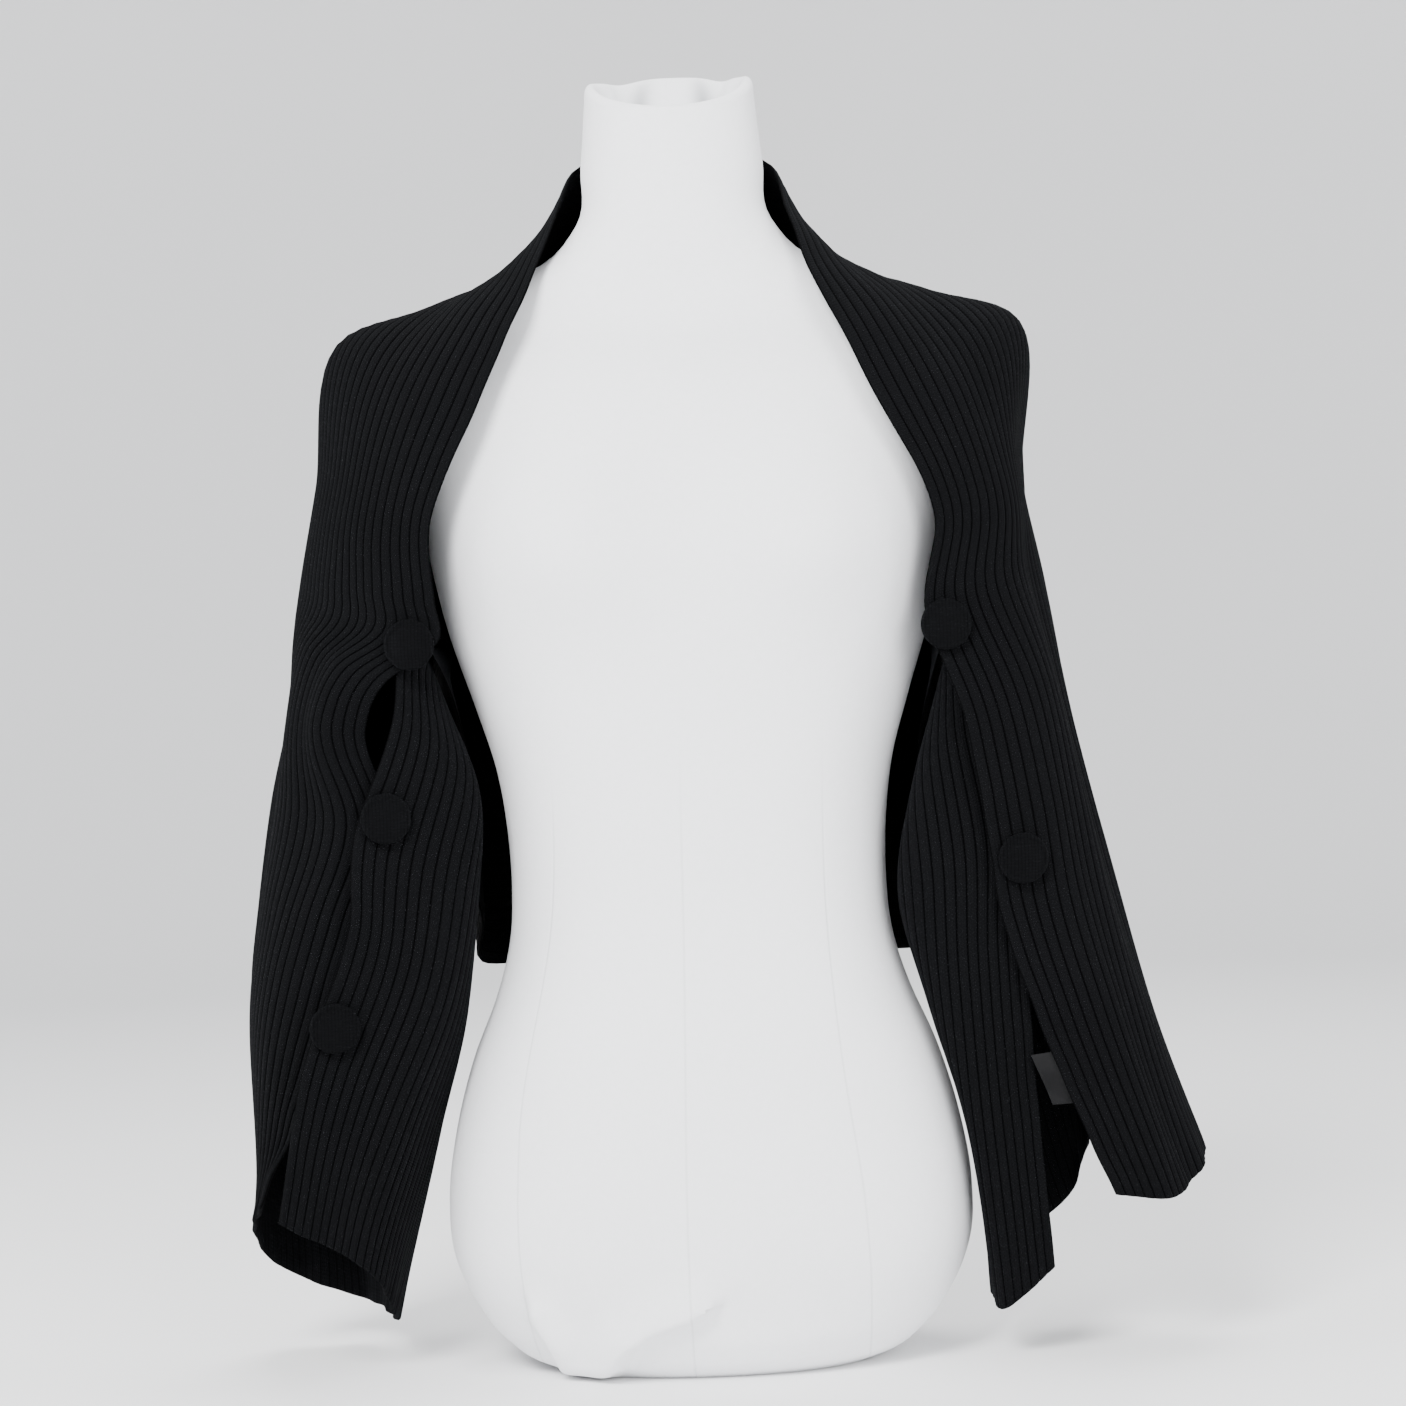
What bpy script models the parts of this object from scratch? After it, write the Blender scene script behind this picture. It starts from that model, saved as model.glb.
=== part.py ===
"""A ribbed knit shrug, one buttoned rectangle of cloth, on a limbless dress form.

Metres, +Z up, the wearer's front towards -Y. The origin is the centre of the form's flat
base. The cloth is one strip: "along" runs down its ribs from the centre back to a cuff,
"across" runs from the neck edge (0) round to the lower edge (1). Left and right are as seen
from the front.
"""

from collections import namedtuple
from math import cos, pi, radians, sin, tan

import bmesh
import bpy
import numpy as np
from mathutils import Matrix, Vector
from mathutils.bvhtree import BVHTree

# Driving dimensions
HALF_LENGTH = 0.79
CLOTH_WIDTH = 0.52
RIBS = 72
WALL_INSIDE = 0.0016
WALL_OUTSIDE = 0.0006
RIB_RISE = 0.0008
SLEEVE_START = 0.400
SEAM_GAP = 0.0003
INSIDE_STEP = 4
BUTTON_RADIUS = 0.0152
BUTTON_GAP = 0.0003
SHANK_RADIUS = 0.0045
LABEL_LENGTH = 0.036
LABEL_WIDTH = 0.018
FORM_SEGMENTS = 28
NECK_TILT = radians(11)

BACK_ROWS = (0.0, 0.06, 0.11, 0.16, 0.20, 0.24, 0.28, 0.315, 0.342, 0.36, 0.374, 0.387)
SLEEVE_ROWS = (0.417, 0.46, 0.53, 0.60, 0.67, 0.735, HALF_LENGTH)

# The form's level slices: half width, and how far front and back lie from the middle
Slice = namedtuple("Slice", "height half_width front back")
FORM = (
    Slice(0.000, 0.098, 0.070, 0.078),
    Slice(0.005, 0.112, 0.080, 0.090),
    Slice(0.018, 0.130, 0.092, 0.102),
    Slice(0.040, 0.147, 0.101, 0.113),
    Slice(0.071, 0.160, 0.110, 0.124),
    Slice(0.102, 0.162, 0.112, 0.128),
    Slice(0.146, 0.156, 0.108, 0.124),
    Slice(0.189, 0.144, 0.100, 0.110),
    Slice(0.229, 0.128, 0.092, 0.094),
    Slice(0.264, 0.119, 0.088, 0.083),
    Slice(0.295, 0.117, 0.087, 0.079),
    Slice(0.326, 0.118, 0.089, 0.080),
    Slice(0.369, 0.124, 0.093, 0.085),
    Slice(0.406, 0.135, 0.097, 0.091),
    Slice(0.453, 0.150, 0.101, 0.098),
    Slice(0.499, 0.160, 0.102, 0.103),
    Slice(0.540, 0.167, 0.098, 0.105),
    Slice(0.575, 0.178, 0.088, 0.103),
    Slice(0.600, 0.186, 0.076, 0.096),
    Slice(0.618, 0.186, 0.063, 0.086),
    Slice(0.632, 0.178, 0.052, 0.076),
    Slice(0.646, 0.157, 0.046, 0.067),
    Slice(0.661, 0.125, 0.044, 0.060),
    Slice(0.677, 0.0865, 0.046, 0.054),
    Slice(0.700, 0.063, 0.047, 0.049),
    Slice(0.738, 0.057, 0.046, 0.045),
    Slice(0.780, 0.053, 0.045, 0.041),
)
BUST_HEIGHT = 0.500
BUST_OUT = 0.078
BUST_RISE = 0.024
BUST_SPREAD = 0.050

# Guide lines of the cloth, each a row for every section: how far along the ribs, then
# how far out from the middle, back from the form's axis and up from its base it lies
Guide = namedtuple("Guide", "along out deep high")
SHARED = {
    "neck_edge": (
        Guide(0.00, 0.000, 0.058, 0.745),
        Guide(0.08, 0.061, 0.022, 0.740),
    ),
    "chest": (
        Guide(0.00, 0.000, 0.068, 0.695),
        Guide(0.08, 0.076, 0.058, 0.700),
        Guide(0.125, 0.092, 0.012, 0.690),
        Guide(0.17, 0.108, -0.020, 0.670),
        Guide(0.215, 0.130, -0.050, 0.643),
        Guide(0.26, 0.158, -0.070, 0.602),
    ),
    "shoulder": (
        Guide(0.00, 0.000, 0.090, 0.640),
        Guide(0.08, 0.082, 0.084, 0.650),
        Guide(0.125, 0.104, 0.052, 0.664),
        Guide(0.17, 0.126, 0.026, 0.665),
        Guide(0.215, 0.164, 0.010, 0.651),
        Guide(0.26, 0.208, 0.000, 0.636),
    ),
    "rear_outer": (
        Guide(0.00, 0.000, 0.113, 0.575),
        Guide(0.08, 0.085, 0.106, 0.590),
        Guide(0.125, 0.124, 0.088, 0.615),
        Guide(0.17, 0.152, 0.072, 0.622),
        Guide(0.215, 0.192, 0.060, 0.608),
        Guide(0.26, 0.212, 0.052, 0.586),
    ),
    "rear": (
        Guide(0.00, 0.000, 0.116, 0.505),
        Guide(0.08, 0.086, 0.112, 0.515),
        Guide(0.125, 0.132, 0.104, 0.540),
        Guide(0.17, 0.160, 0.102, 0.560),
        Guide(0.215, 0.190, 0.096, 0.540),
        Guide(0.26, 0.210, 0.092, 0.515),
    ),
    "rear_inner": (
        Guide(0.00, 0.000, 0.113, 0.430),
        Guide(0.08, 0.086, 0.109, 0.435),
        Guide(0.125, 0.134, 0.104, 0.455),
        Guide(0.17, 0.156, 0.113, 0.475),
        Guide(0.215, 0.176, 0.109, 0.470),
        Guide(0.26, 0.190, 0.107, 0.462),
    ),
    "under": (
        Guide(0.00, 0.000, 0.109, 0.355),
        Guide(0.08, 0.085, 0.104, 0.358),
        Guide(0.125, 0.132, 0.098, 0.372),
        Guide(0.17, 0.149, 0.114, 0.400),
        Guide(0.215, 0.156, 0.110, 0.410),
        Guide(0.26, 0.163, 0.106, 0.420),
    ),
    "body_fold": (
        Guide(0.00, 0.000, 0.107, 0.300),
        Guide(0.08, 0.083, 0.101, 0.302),
        Guide(0.125, 0.112, 0.115, 0.320),
        Guide(0.17, 0.145, 0.107, 0.330),
        Guide(0.215, 0.145, 0.092, 0.348),
        Guide(0.26, 0.152, 0.076, 0.374),
    ),
    "strip": (
        Guide(0.00, 0.000, 0.106, 0.262),
        Guide(0.08, 0.081, 0.099, 0.264),
        Guide(0.125, 0.112, 0.110, 0.266),
        Guide(0.17, 0.143, 0.090, 0.272),
        Guide(0.215, 0.140, 0.068, 0.297),
        Guide(0.26, 0.145, 0.043, 0.332),
    ),
    "lower_edge": (
        Guide(0.00, 0.000, 0.106, 0.232),
        Guide(0.08, 0.079, 0.098, 0.236),
        Guide(0.125, 0.112, 0.100, 0.240),
        Guide(0.17, 0.142, 0.074, 0.244),
        Guide(0.215, 0.138, 0.050, 0.268),
        Guide(0.26, 0.142, 0.021, 0.306),
    ),
}
LEFT = {
    "neck_edge": (
        Guide(0.125, 0.074, -0.018, 0.702),
        Guide(0.17, 0.089, -0.050, 0.661),
        Guide(0.215, 0.104, -0.074, 0.625),
        Guide(0.26, 0.121, -0.090, 0.585),
        Guide(0.34, 0.152, -0.083, 0.515),
        Guide(0.395, 0.151, -0.080, 0.470),
        Guide(0.42, 0.150, -0.079, 0.446),
        Guide(0.445, 0.182, -0.075, 0.424),
        Guide(0.475, 0.196, -0.066, 0.398),
        Guide(0.54, 0.180, -0.068, 0.334),
        Guide(0.60, 0.200, -0.068, 0.280),
        Guide(0.67, 0.224, -0.064, 0.213),
        Guide(0.79, 0.281, 0.008, 0.100),
    ),
    "chest": (
        Guide(0.34, 0.190, -0.066, 0.528),
        Guide(0.42, 0.202, -0.070, 0.458),
        Guide(0.475, 0.222, -0.066, 0.404),
        Guide(0.54, 0.230, -0.064, 0.342),
        Guide(0.60, 0.244, -0.060, 0.284),
        Guide(0.67, 0.260, -0.048, 0.219),
        Guide(0.79, 0.290, 0.046, 0.080),
    ),
    "shoulder": (
        Guide(0.34, 0.226, -0.002, 0.547),
        Guide(0.42, 0.241, -0.004, 0.470),
        Guide(0.475, 0.249, -0.004, 0.415),
        Guide(0.54, 0.2615, -0.004, 0.352),
        Guide(0.60, 0.272, 0.000, 0.292),
        Guide(0.67, 0.281, 0.004, 0.225),
        Guide(0.79, 0.284, 0.072, 0.058),
    ),
    "rear_outer": (
        Guide(0.34, 0.228, 0.050, 0.512),
        Guide(0.42, 0.243, 0.040, 0.448),
        Guide(0.475, 0.250, 0.040, 0.403),
        Guide(0.54, 0.263, 0.046, 0.344),
        Guide(0.60, 0.274, 0.048, 0.286),
        Guide(0.67, 0.282, 0.052, 0.219),
        Guide(0.79, 0.270, 0.087, 0.046),
    ),
    "rear": (
        Guide(0.34, 0.230, 0.086, 0.462),
        Guide(0.42, 0.242, 0.076, 0.420),
        Guide(0.475, 0.247, 0.078, 0.372),
        Guide(0.54, 0.252, 0.084, 0.300),
        Guide(0.60, 0.256, 0.086, 0.250),
        Guide(0.67, 0.258, 0.088, 0.196),
        Guide(0.79, 0.250, 0.090, 0.037),
    ),
    "rear_inner": (
        Guide(0.34, 0.204, 0.102, 0.440),
        Guide(0.42, 0.214, 0.095, 0.400),
        Guide(0.475, 0.220, 0.094, 0.348),
        Guide(0.54, 0.220, 0.096, 0.285),
        Guide(0.60, 0.228, 0.094, 0.232),
        Guide(0.67, 0.228, 0.092, 0.170),
        Guide(0.79, 0.226, 0.090, 0.028),
    ),
    "under": (
        Guide(0.34, 0.170, 0.098, 0.432),
        Guide(0.365, 0.172, 0.094, 0.437),
        Guide(0.38, 0.174, 0.093, 0.434),
        Guide(0.395, 0.176, 0.092, 0.428),
        Guide(0.42, 0.180, 0.088, 0.405),
        Guide(0.475, 0.184, 0.084, 0.345),
        Guide(0.54, 0.182, 0.082, 0.280),
        Guide(0.60, 0.188, 0.079, 0.220),
        Guide(0.67, 0.192, 0.075, 0.152),
        Guide(0.79, 0.206, 0.060, 0.026),
    ),
    "body_fold": (
        Guide(0.34, 0.152, 0.058, 0.423),
        Guide(0.365, 0.154, 0.052, 0.441),
        Guide(0.38, 0.159, 0.049, 0.443),
        Guide(0.395, 0.164, 0.046, 0.438),
        Guide(0.42, 0.167, 0.040, 0.410),
        Guide(0.475, 0.160, 0.032, 0.348),
        Guide(0.54, 0.151, 0.026, 0.285),
        Guide(0.60, 0.152, 0.020, 0.215),
        Guide(0.67, 0.168, 0.012, 0.144),
        Guide(0.79, 0.1985, -0.004, 0.031),
    ),
    "strip": (
        Guide(0.34, 0.147, 0.012, 0.407),
        Guide(0.365, 0.151, -0.008, 0.436),
        Guide(0.38, 0.156, -0.019, 0.443),
        Guide(0.395, 0.161, -0.029, 0.441),
        Guide(0.42, 0.161, -0.036, 0.420),
        Guide(0.475, 0.143, -0.053, 0.362),
        Guide(0.54, 0.139, -0.056, 0.300),
        Guide(0.60, 0.154, -0.058, 0.232),
        Guide(0.67, 0.184, -0.062, 0.164),
        Guide(0.79, 0.207, -0.050, 0.066),
    ),
    "lower_edge": (
        Guide(0.34, 0.141, -0.012, 0.388),
        Guide(0.365, 0.149, -0.037, 0.423),
        Guide(0.38, 0.155, -0.050, 0.438),
        Guide(0.395, 0.161, -0.061, 0.448),
        Guide(0.42, 0.171, -0.069, 0.452),
        Guide(0.475, 0.180, -0.074, 0.398),
        Guide(0.54, 0.205, -0.080, 0.330),
        Guide(0.60, 0.210, -0.080, 0.275),
        Guide(0.67, 0.237, -0.074, 0.206),
        Guide(0.79, 0.261, -0.060, 0.100),
    ),
}
RIGHT = {
    "neck_edge": (
        Guide(0.125, 0.070, -0.020, 0.704),
        Guide(0.17, 0.081, -0.052, 0.664),
        Guide(0.215, 0.098, -0.074, 0.625),
        Guide(0.26, 0.115, -0.090, 0.585),
        Guide(0.34, 0.148, -0.084, 0.515),
        Guide(0.42, 0.142, -0.076, 0.450),
        Guide(0.475, 0.160, -0.080, 0.398),
        Guide(0.54, 0.172, -0.080, 0.330),
        Guide(0.60, 0.180, -0.074, 0.272),
        Guide(0.67, 0.201, -0.068, 0.205),
        Guide(0.79, 0.243, -0.062, 0.099),
    ),
    "chest": (
        Guide(0.34, 0.190, -0.066, 0.528),
        Guide(0.42, 0.194, -0.070, 0.464),
        Guide(0.475, 0.208, -0.068, 0.408),
        Guide(0.54, 0.222, -0.066, 0.343),
        Guide(0.60, 0.236, -0.064, 0.282),
        Guide(0.67, 0.252, -0.060, 0.212),
        Guide(0.79, 0.280, -0.050, 0.094),
    ),
    "shoulder": (
        Guide(0.34, 0.207, -0.002, 0.547),
        Guide(0.42, 0.219, -0.004, 0.474),
        Guide(0.475, 0.229, -0.004, 0.415),
        Guide(0.54, 0.243, -0.004, 0.348),
        Guide(0.60, 0.258, -0.002, 0.286),
        Guide(0.67, 0.275, 0.000, 0.215),
        Guide(0.79, 0.306, -0.004, 0.110),
    ),
    "rear_outer": (
        Guide(0.34, 0.211, 0.048, 0.512),
        Guide(0.42, 0.222, 0.044, 0.450),
        Guide(0.475, 0.231, 0.044, 0.400),
        Guide(0.54, 0.245, 0.046, 0.340),
        Guide(0.60, 0.260, 0.046, 0.282),
        Guide(0.67, 0.277, 0.046, 0.212),
        Guide(0.79, 0.300, 0.042, 0.128),
    ),
    "rear": (
        Guide(0.34, 0.216, 0.085, 0.464),
        Guide(0.42, 0.226, 0.078, 0.418),
        Guide(0.475, 0.230, 0.080, 0.370),
        Guide(0.54, 0.235, 0.084, 0.304),
        Guide(0.60, 0.247, 0.084, 0.252),
        Guide(0.67, 0.262, 0.084, 0.198),
        Guide(0.79, 0.262, 0.066, 0.146),
    ),
    "rear_inner": (
        Guide(0.34, 0.197, 0.102, 0.440),
        Guide(0.42, 0.204, 0.095, 0.403),
        Guide(0.475, 0.206, 0.094, 0.350),
        Guide(0.54, 0.212, 0.094, 0.285),
        Guide(0.60, 0.226, 0.092, 0.230),
        Guide(0.67, 0.234, 0.089, 0.170),
        Guide(0.79, 0.232, 0.074, 0.084),
    ),
    "under": (
        Guide(0.34, 0.170, 0.098, 0.432),
        Guide(0.365, 0.172, 0.094, 0.437),
        Guide(0.38, 0.174, 0.093, 0.434),
        Guide(0.395, 0.176, 0.092, 0.428),
        Guide(0.42, 0.178, 0.087, 0.405),
        Guide(0.475, 0.180, 0.083, 0.343),
        Guide(0.54, 0.178, 0.080, 0.278),
        Guide(0.60, 0.188, 0.077, 0.218),
        Guide(0.67, 0.200, 0.073, 0.152),
        Guide(0.79, 0.202, 0.056, 0.060),
    ),
    "body_fold": (
        Guide(0.34, 0.152, 0.058, 0.423),
        Guide(0.365, 0.154, 0.052, 0.441),
        Guide(0.38, 0.159, 0.049, 0.443),
        Guide(0.395, 0.164, 0.046, 0.438),
        Guide(0.42, 0.167, 0.040, 0.410),
        Guide(0.475, 0.160, 0.034, 0.345),
        Guide(0.54, 0.152, 0.026, 0.278),
        Guide(0.60, 0.155, 0.016, 0.212),
        Guide(0.67, 0.172, 0.006, 0.146),
        Guide(0.79, 0.173, -0.004, 0.042),
    ),
    "strip": (
        Guide(0.34, 0.147, 0.012, 0.407),
        Guide(0.365, 0.151, -0.008, 0.436),
        Guide(0.38, 0.156, -0.018, 0.445),
        Guide(0.395, 0.161, -0.028, 0.444),
        Guide(0.42, 0.161, -0.036, 0.420),
        Guide(0.475, 0.140, -0.052, 0.350),
        Guide(0.54, 0.123, -0.052, 0.285),
        Guide(0.60, 0.139, -0.056, 0.224),
        Guide(0.67, 0.157, -0.058, 0.158),
        Guide(0.79, 0.176, -0.051, 0.031),
    ),
    "lower_edge": (
        Guide(0.34, 0.141, -0.012, 0.388),
        Guide(0.365, 0.149, -0.037, 0.423),
        Guide(0.38, 0.155, -0.050, 0.438),
        Guide(0.395, 0.161, -0.061, 0.448),
        Guide(0.42, 0.171, -0.069, 0.452),
        Guide(0.475, 0.186, -0.068, 0.394),
        Guide(0.54, 0.200, -0.071, 0.326),
        Guide(0.60, 0.196, -0.064, 0.265),
        Guide(0.67, 0.198, -0.058, 0.186),
        Guide(0.79, 0.206, -0.056, 0.056),
    ),
}

# The largest folds: where each starts and ends, how wide it is, how far it stands out
Fold = namedtuple("Fold", "side start end across_start across_end width rise")
FOLDS = (
    Fold(-1, 0.52, 0.90, 0.950, 0.880, 0.021, -0.004),
    Fold(-1, 0.34, 0.64, 0.120, 0.090, 0.016, -0.004),
    Fold(-1, 0.50, 0.90, 0.330, 0.340, 0.024, -0.005),
    Fold(-1, 0.50, 0.90, 0.560, 0.520, 0.024, -0.006),
    Fold(1, 0.46, 0.90, 0.105, 0.150, 0.016, -0.005),
    Fold(1, 0.34, 0.70, 0.190, 0.190, 0.016, -0.004),
    Fold(1, 0.46, 0.90, 0.360, 0.360, 0.024, -0.006),
    Fold(1, 0.50, 0.90, 0.580, 0.540, 0.024, -0.006),
    Fold(1, 0.05, 0.28, 0.060, 0.110, 0.014, -0.003),
)

# Buttons: which sleeve, how far along, where across, and the sleeve's edge it closes
Button = namedtuple("Button", "name side along across")
BUTTONS = (
    Button("button_left_1", -1, 0.424, 0.030),
    Button("button_left_2", -1, 0.522, 0.972),
    Button("button_left_3", -1, 0.650, 0.978),
    Button("button_right_1", 1, 0.428, 0.022),
    Button("button_right_2", 1, 0.570, 0.034),
)


def clear_scene():
    for thing in list(bpy.data.objects):
        bpy.data.objects.remove(thing, do_unlink=True)


def through(knots, values, at):
    """Smooth curve through the values at the knots, read at each place in at."""
    knots = np.asarray(knots, float)
    values = np.asarray(values, float)
    step = np.diff(knots)
    slope = np.diff(values, axis=0) / step[:, None]
    tangent = np.empty_like(values)
    tangent[0] = slope[0]
    tangent[-1] = slope[-1]
    before = step[:-1, None]
    after = step[1:, None]
    tangent[1:-1] = (slope[:-1] * after + slope[1:] * before) / (before + after)
    at = np.clip(np.asarray(at, float), knots[0], knots[-1])
    i = np.clip(np.searchsorted(knots, at, side="right") - 1, 0, len(step) - 1)
    h = step[i][:, None]
    u = ((at - knots[i]) / step[i])[:, None]
    return (
        values[i] * (1 + 2 * u) * (1 - u) ** 2
        + tangent[i] * h * u * (1 - u) ** 2
        + values[i + 1] * u * u * (3 - 2 * u)
        + tangent[i + 1] * h * u * u * (u - 1)
    )


def guide_line(name):
    """One guide from the left cuff through the centre back to the right cuff."""
    left = SHARED[name] + LEFT[name]
    right = SHARED[name] + RIGHT[name]
    rows = [(-g.along, -g.out, g.deep, g.high) for g in reversed(left[1:])]
    rows += [(g.along, g.out, g.deep, g.high) for g in right]
    return np.array(rows)


def middle_of_cloth(along, across):
    """The middle of the wall on a grid: ribs evenly spaced across every section."""
    lines = [guide_line(name) for name in SHARED]
    guides = np.stack([through(line[:, 0], line[:, 1:], along) for line in lines], axis=1)
    grid = np.empty((len(along), len(across), 3))
    for row, points in enumerate(guides):
        chord = np.linalg.norm(np.diff(points, axis=0), axis=1) ** 0.75
        knots = np.concatenate([[0], np.cumsum(chord)])
        curve = through(knots, points, np.linspace(0, knots[-1], 600))
        length = np.concatenate([[0], np.cumsum(np.linalg.norm(np.diff(curve, axis=0), axis=1))])
        place = across * length[-1]
        grid[row] = np.stack([np.interp(place, length, curve[:, k]) for k in range(3)], axis=1)
    return grid


def ease(value):
    value = np.clip(value, 0, 1)
    return value * value * (3 - 2 * value)


def fold_rise(along, across):
    """How far the folds move each point of the grid outwards."""
    rise = np.zeros((len(along), len(across)))
    for fold in FOLDS:
        place = along * fold.side
        share = (place - fold.start) / (fold.end - fold.start)
        strength = ease(share / 0.3) * ease((1 - share) / 0.3)
        centre = fold.across_start + (fold.across_end - fold.across_start) * share
        off = (across[None, :] - centre[:, None]) * CLOTH_WIDTH / fold.width
        rise += fold.rise * strength[:, None] * np.exp(-(off**2))
    return rise


def cloth_layers(along, across):
    """The middle of the folded wall and the directions out of it."""
    spread = 0.004
    steps = np.concatenate([along - spread, along, along + spread])
    order = np.argsort(steps, kind="stable")
    grid = middle_of_cloth(steps[order], across)
    back = np.empty_like(order)
    back[order] = np.arange(len(order))
    before, here, after = (grid[back[k * len(along) : (k + 1) * len(along)]] for k in range(3))
    moved = []
    down = after - before
    for layer, shift in ((before, -spread), (here, 0), (after, spread)):
        normal = np.cross(down, np.gradient(layer, axis=1))
        normal /= np.linalg.norm(normal, axis=2, keepdims=True)
        moved.append(layer + normal * fold_rise(along + shift, across)[:, :, None])
    down = moved[2] - moved[0]
    normal = np.cross(down, np.gradient(moved[1], axis=1))
    normal /= np.linalg.norm(normal, axis=2, keepdims=True)
    return moved[1], normal


def material(name, colour, roughness):
    made = bpy.data.materials.new(name)
    made.use_nodes = True
    shader = made.node_tree.nodes["Principled BSDF"]
    shader.inputs["Base Color"].default_value = (*colour, 1)
    shader.inputs["Roughness"].default_value = roughness
    shader.inputs["Metallic"].default_value = 0
    return made


def mesh_object(name, points, faces, finish):
    mesh = bpy.data.meshes.new(name)
    mesh.from_pydata([tuple(p) for p in points], [], faces)
    shape = bmesh.new()
    shape.from_mesh(mesh)
    bmesh.ops.recalc_face_normals(shape, faces=shape.faces)
    shape.to_mesh(mesh)
    shape.free()
    mesh.shade_smooth()
    mesh.set_sharp_from_angle(angle=radians(40))
    mesh.materials.append(finish)
    made = bpy.data.objects.new(name, mesh)
    bpy.context.scene.collection.objects.link(made)
    return made


def cloth_wall(name, along, finish):
    """A closed wall: ribs raised on its outside, plain inside, square edges."""
    along = np.array(along)
    across = np.linspace(0, 1, 2 * RIBS + 1)
    middle, normal = cloth_layers(along, across)
    rise = WALL_OUTSIDE + RIB_RISE * (np.arange(len(across)) % 2)
    outer = middle + normal * rise[None, :, None]
    inner = (middle - normal * WALL_INSIDE)[:, ::INSIDE_STEP]
    rows, wide, narrow = len(along), outer.shape[1], inner.shape[1]
    points = np.concatenate([outer.reshape(-1, 3), inner.reshape(-1, 3)])
    first = rows * wide
    faces = []
    for r in range(rows - 1):
        for c in range(wide - 1):
            a = r * wide + c
            faces.append((a, a + 1, a + wide + 1, a + wide))
        for c in range(narrow - 1):
            a = first + r * narrow + c
            faces.append((a, a + narrow, a + narrow + 1, a + 1))
        for c, d in ((0, 0), (wide - 1, narrow - 1)):
            a, b = r * wide + c, first + r * narrow + d
            faces.append((a, a + wide, b + narrow, b))
    for r in (0, rows - 1):
        for c in range(narrow - 1):
            a, b = r * wide + c * INSIDE_STEP, first + r * narrow + c
            half = INSIDE_STEP // 2
            faces += [(b, a + k, a + k + 1) for k in range(half)]
            faces.append((b, a + half, b + 1))
            faces += [(b + 1, a + k, a + k + 1) for k in range(half, INSIDE_STEP)]
    return mesh_object(name, points, faces, finish)


def form_slice(cut, angle):
    """Points of one level slice of the form; angle 0 faces the front."""
    side = np.sin(angle)
    ahead = np.cos(angle)
    power = 2 / 2.25
    x = cut.half_width * np.sign(side) * np.abs(side) ** power
    y = -np.sign(ahead) * np.abs(ahead) ** power * np.where(ahead > 0, cut.front, cut.back)
    lift = (cut.height - BUST_HEIGHT) / BUST_SPREAD
    for centre in (-BUST_OUT, BUST_OUT):
        near = np.exp(-(lift**2) - ((x - centre) / BUST_SPREAD) ** 2)
        y = y - BUST_RISE * near * np.clip(ahead * 2, 0, 1)
    return x, y


def dress_form(finish):
    """The form as level slices from a flat base to a dished, tilted neck top."""
    angle = np.linspace(0, 2 * pi, FORM_SEGMENTS, endpoint=False)
    rings = []
    for cut in FORM:
        x, y = form_slice(cut, angle)
        share = ease(np.clip((cut.height - 0.70) / 0.08, 0, 1))
        tilt = y * tan(NECK_TILT) * share
        rings.append(np.stack([x, y, cut.height + tilt], axis=1))
    top = rings[-1]
    centre = np.array([0, top[:, 1].mean(), 0.780])
    for inset, lift in ((0.985, 0.007), (0.93, 0.0105), (0.86, 0.0095), (0.80, 0.004), (0.72, -0.003)):
        ring = centre + (top - centre) * (inset, inset, 1)
        ring[:, 2] += lift
        rings.append(ring)
    points = np.concatenate(rings)
    count = FORM_SEGMENTS
    faces = []
    for r in range(len(rings) - 1):
        for c in range(count):
            d = (c + 1) % count
            faces.append((r * count + c, r * count + d, (r + 1) * count + d, (r + 1) * count + c))
    faces.append(tuple(range(count)))
    last = (len(rings) - 1) * count
    faces.append(tuple(range(last, last + count)))
    return mesh_object("dress_form", points, faces, finish)


def place_on_cloth(wall, side, along, across, radius, shank):
    """Where a disc of this radius rests on the finished wall: seat, rim's height, out, down."""
    s = np.linspace(along - 1.4 * radius, along + 1.4 * radius, 11) * side
    if side < 0:
        s = s[::-1]
    t = np.linspace(0, 1, 2 * RIBS + 1)
    middle, normal = cloth_layers(s, t)
    column = int(round(across * (len(t) - 1)))
    out = Vector(normal[3:8, max(column - 4, 0) : column + 5].mean(axis=(0, 1))).normalized()
    down = Vector(middle[6, column] - middle[4, column]) * side
    down = (down - out * down.dot(out)).normalized()
    centre = Vector(middle[5, column])
    sideways = down.cross(out)
    tree = BVHTree.FromPolygons(
        [v.co for v in wall.data.vertices], [tuple(f.vertices) for f in wall.data.polygons]
    )
    seat = rim = 0.0
    for ring in range(25):
        reach = radius * ring / 24
        for k in range(48):
            turn = 2 * pi * k / 48
            over = centre + (down * cos(turn) + sideways * sin(turn)) * reach
            hit = tree.ray_cast(over + out * 0.012, -out, 0.024)[0]
            if hit is None:
                continue
            height = (hit - centre).dot(out)
            rim = max(rim, height)
            if reach <= shank + 0.0007:
                seat = max(seat, height)
    return centre + out * seat, rim - seat, out, down


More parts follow.
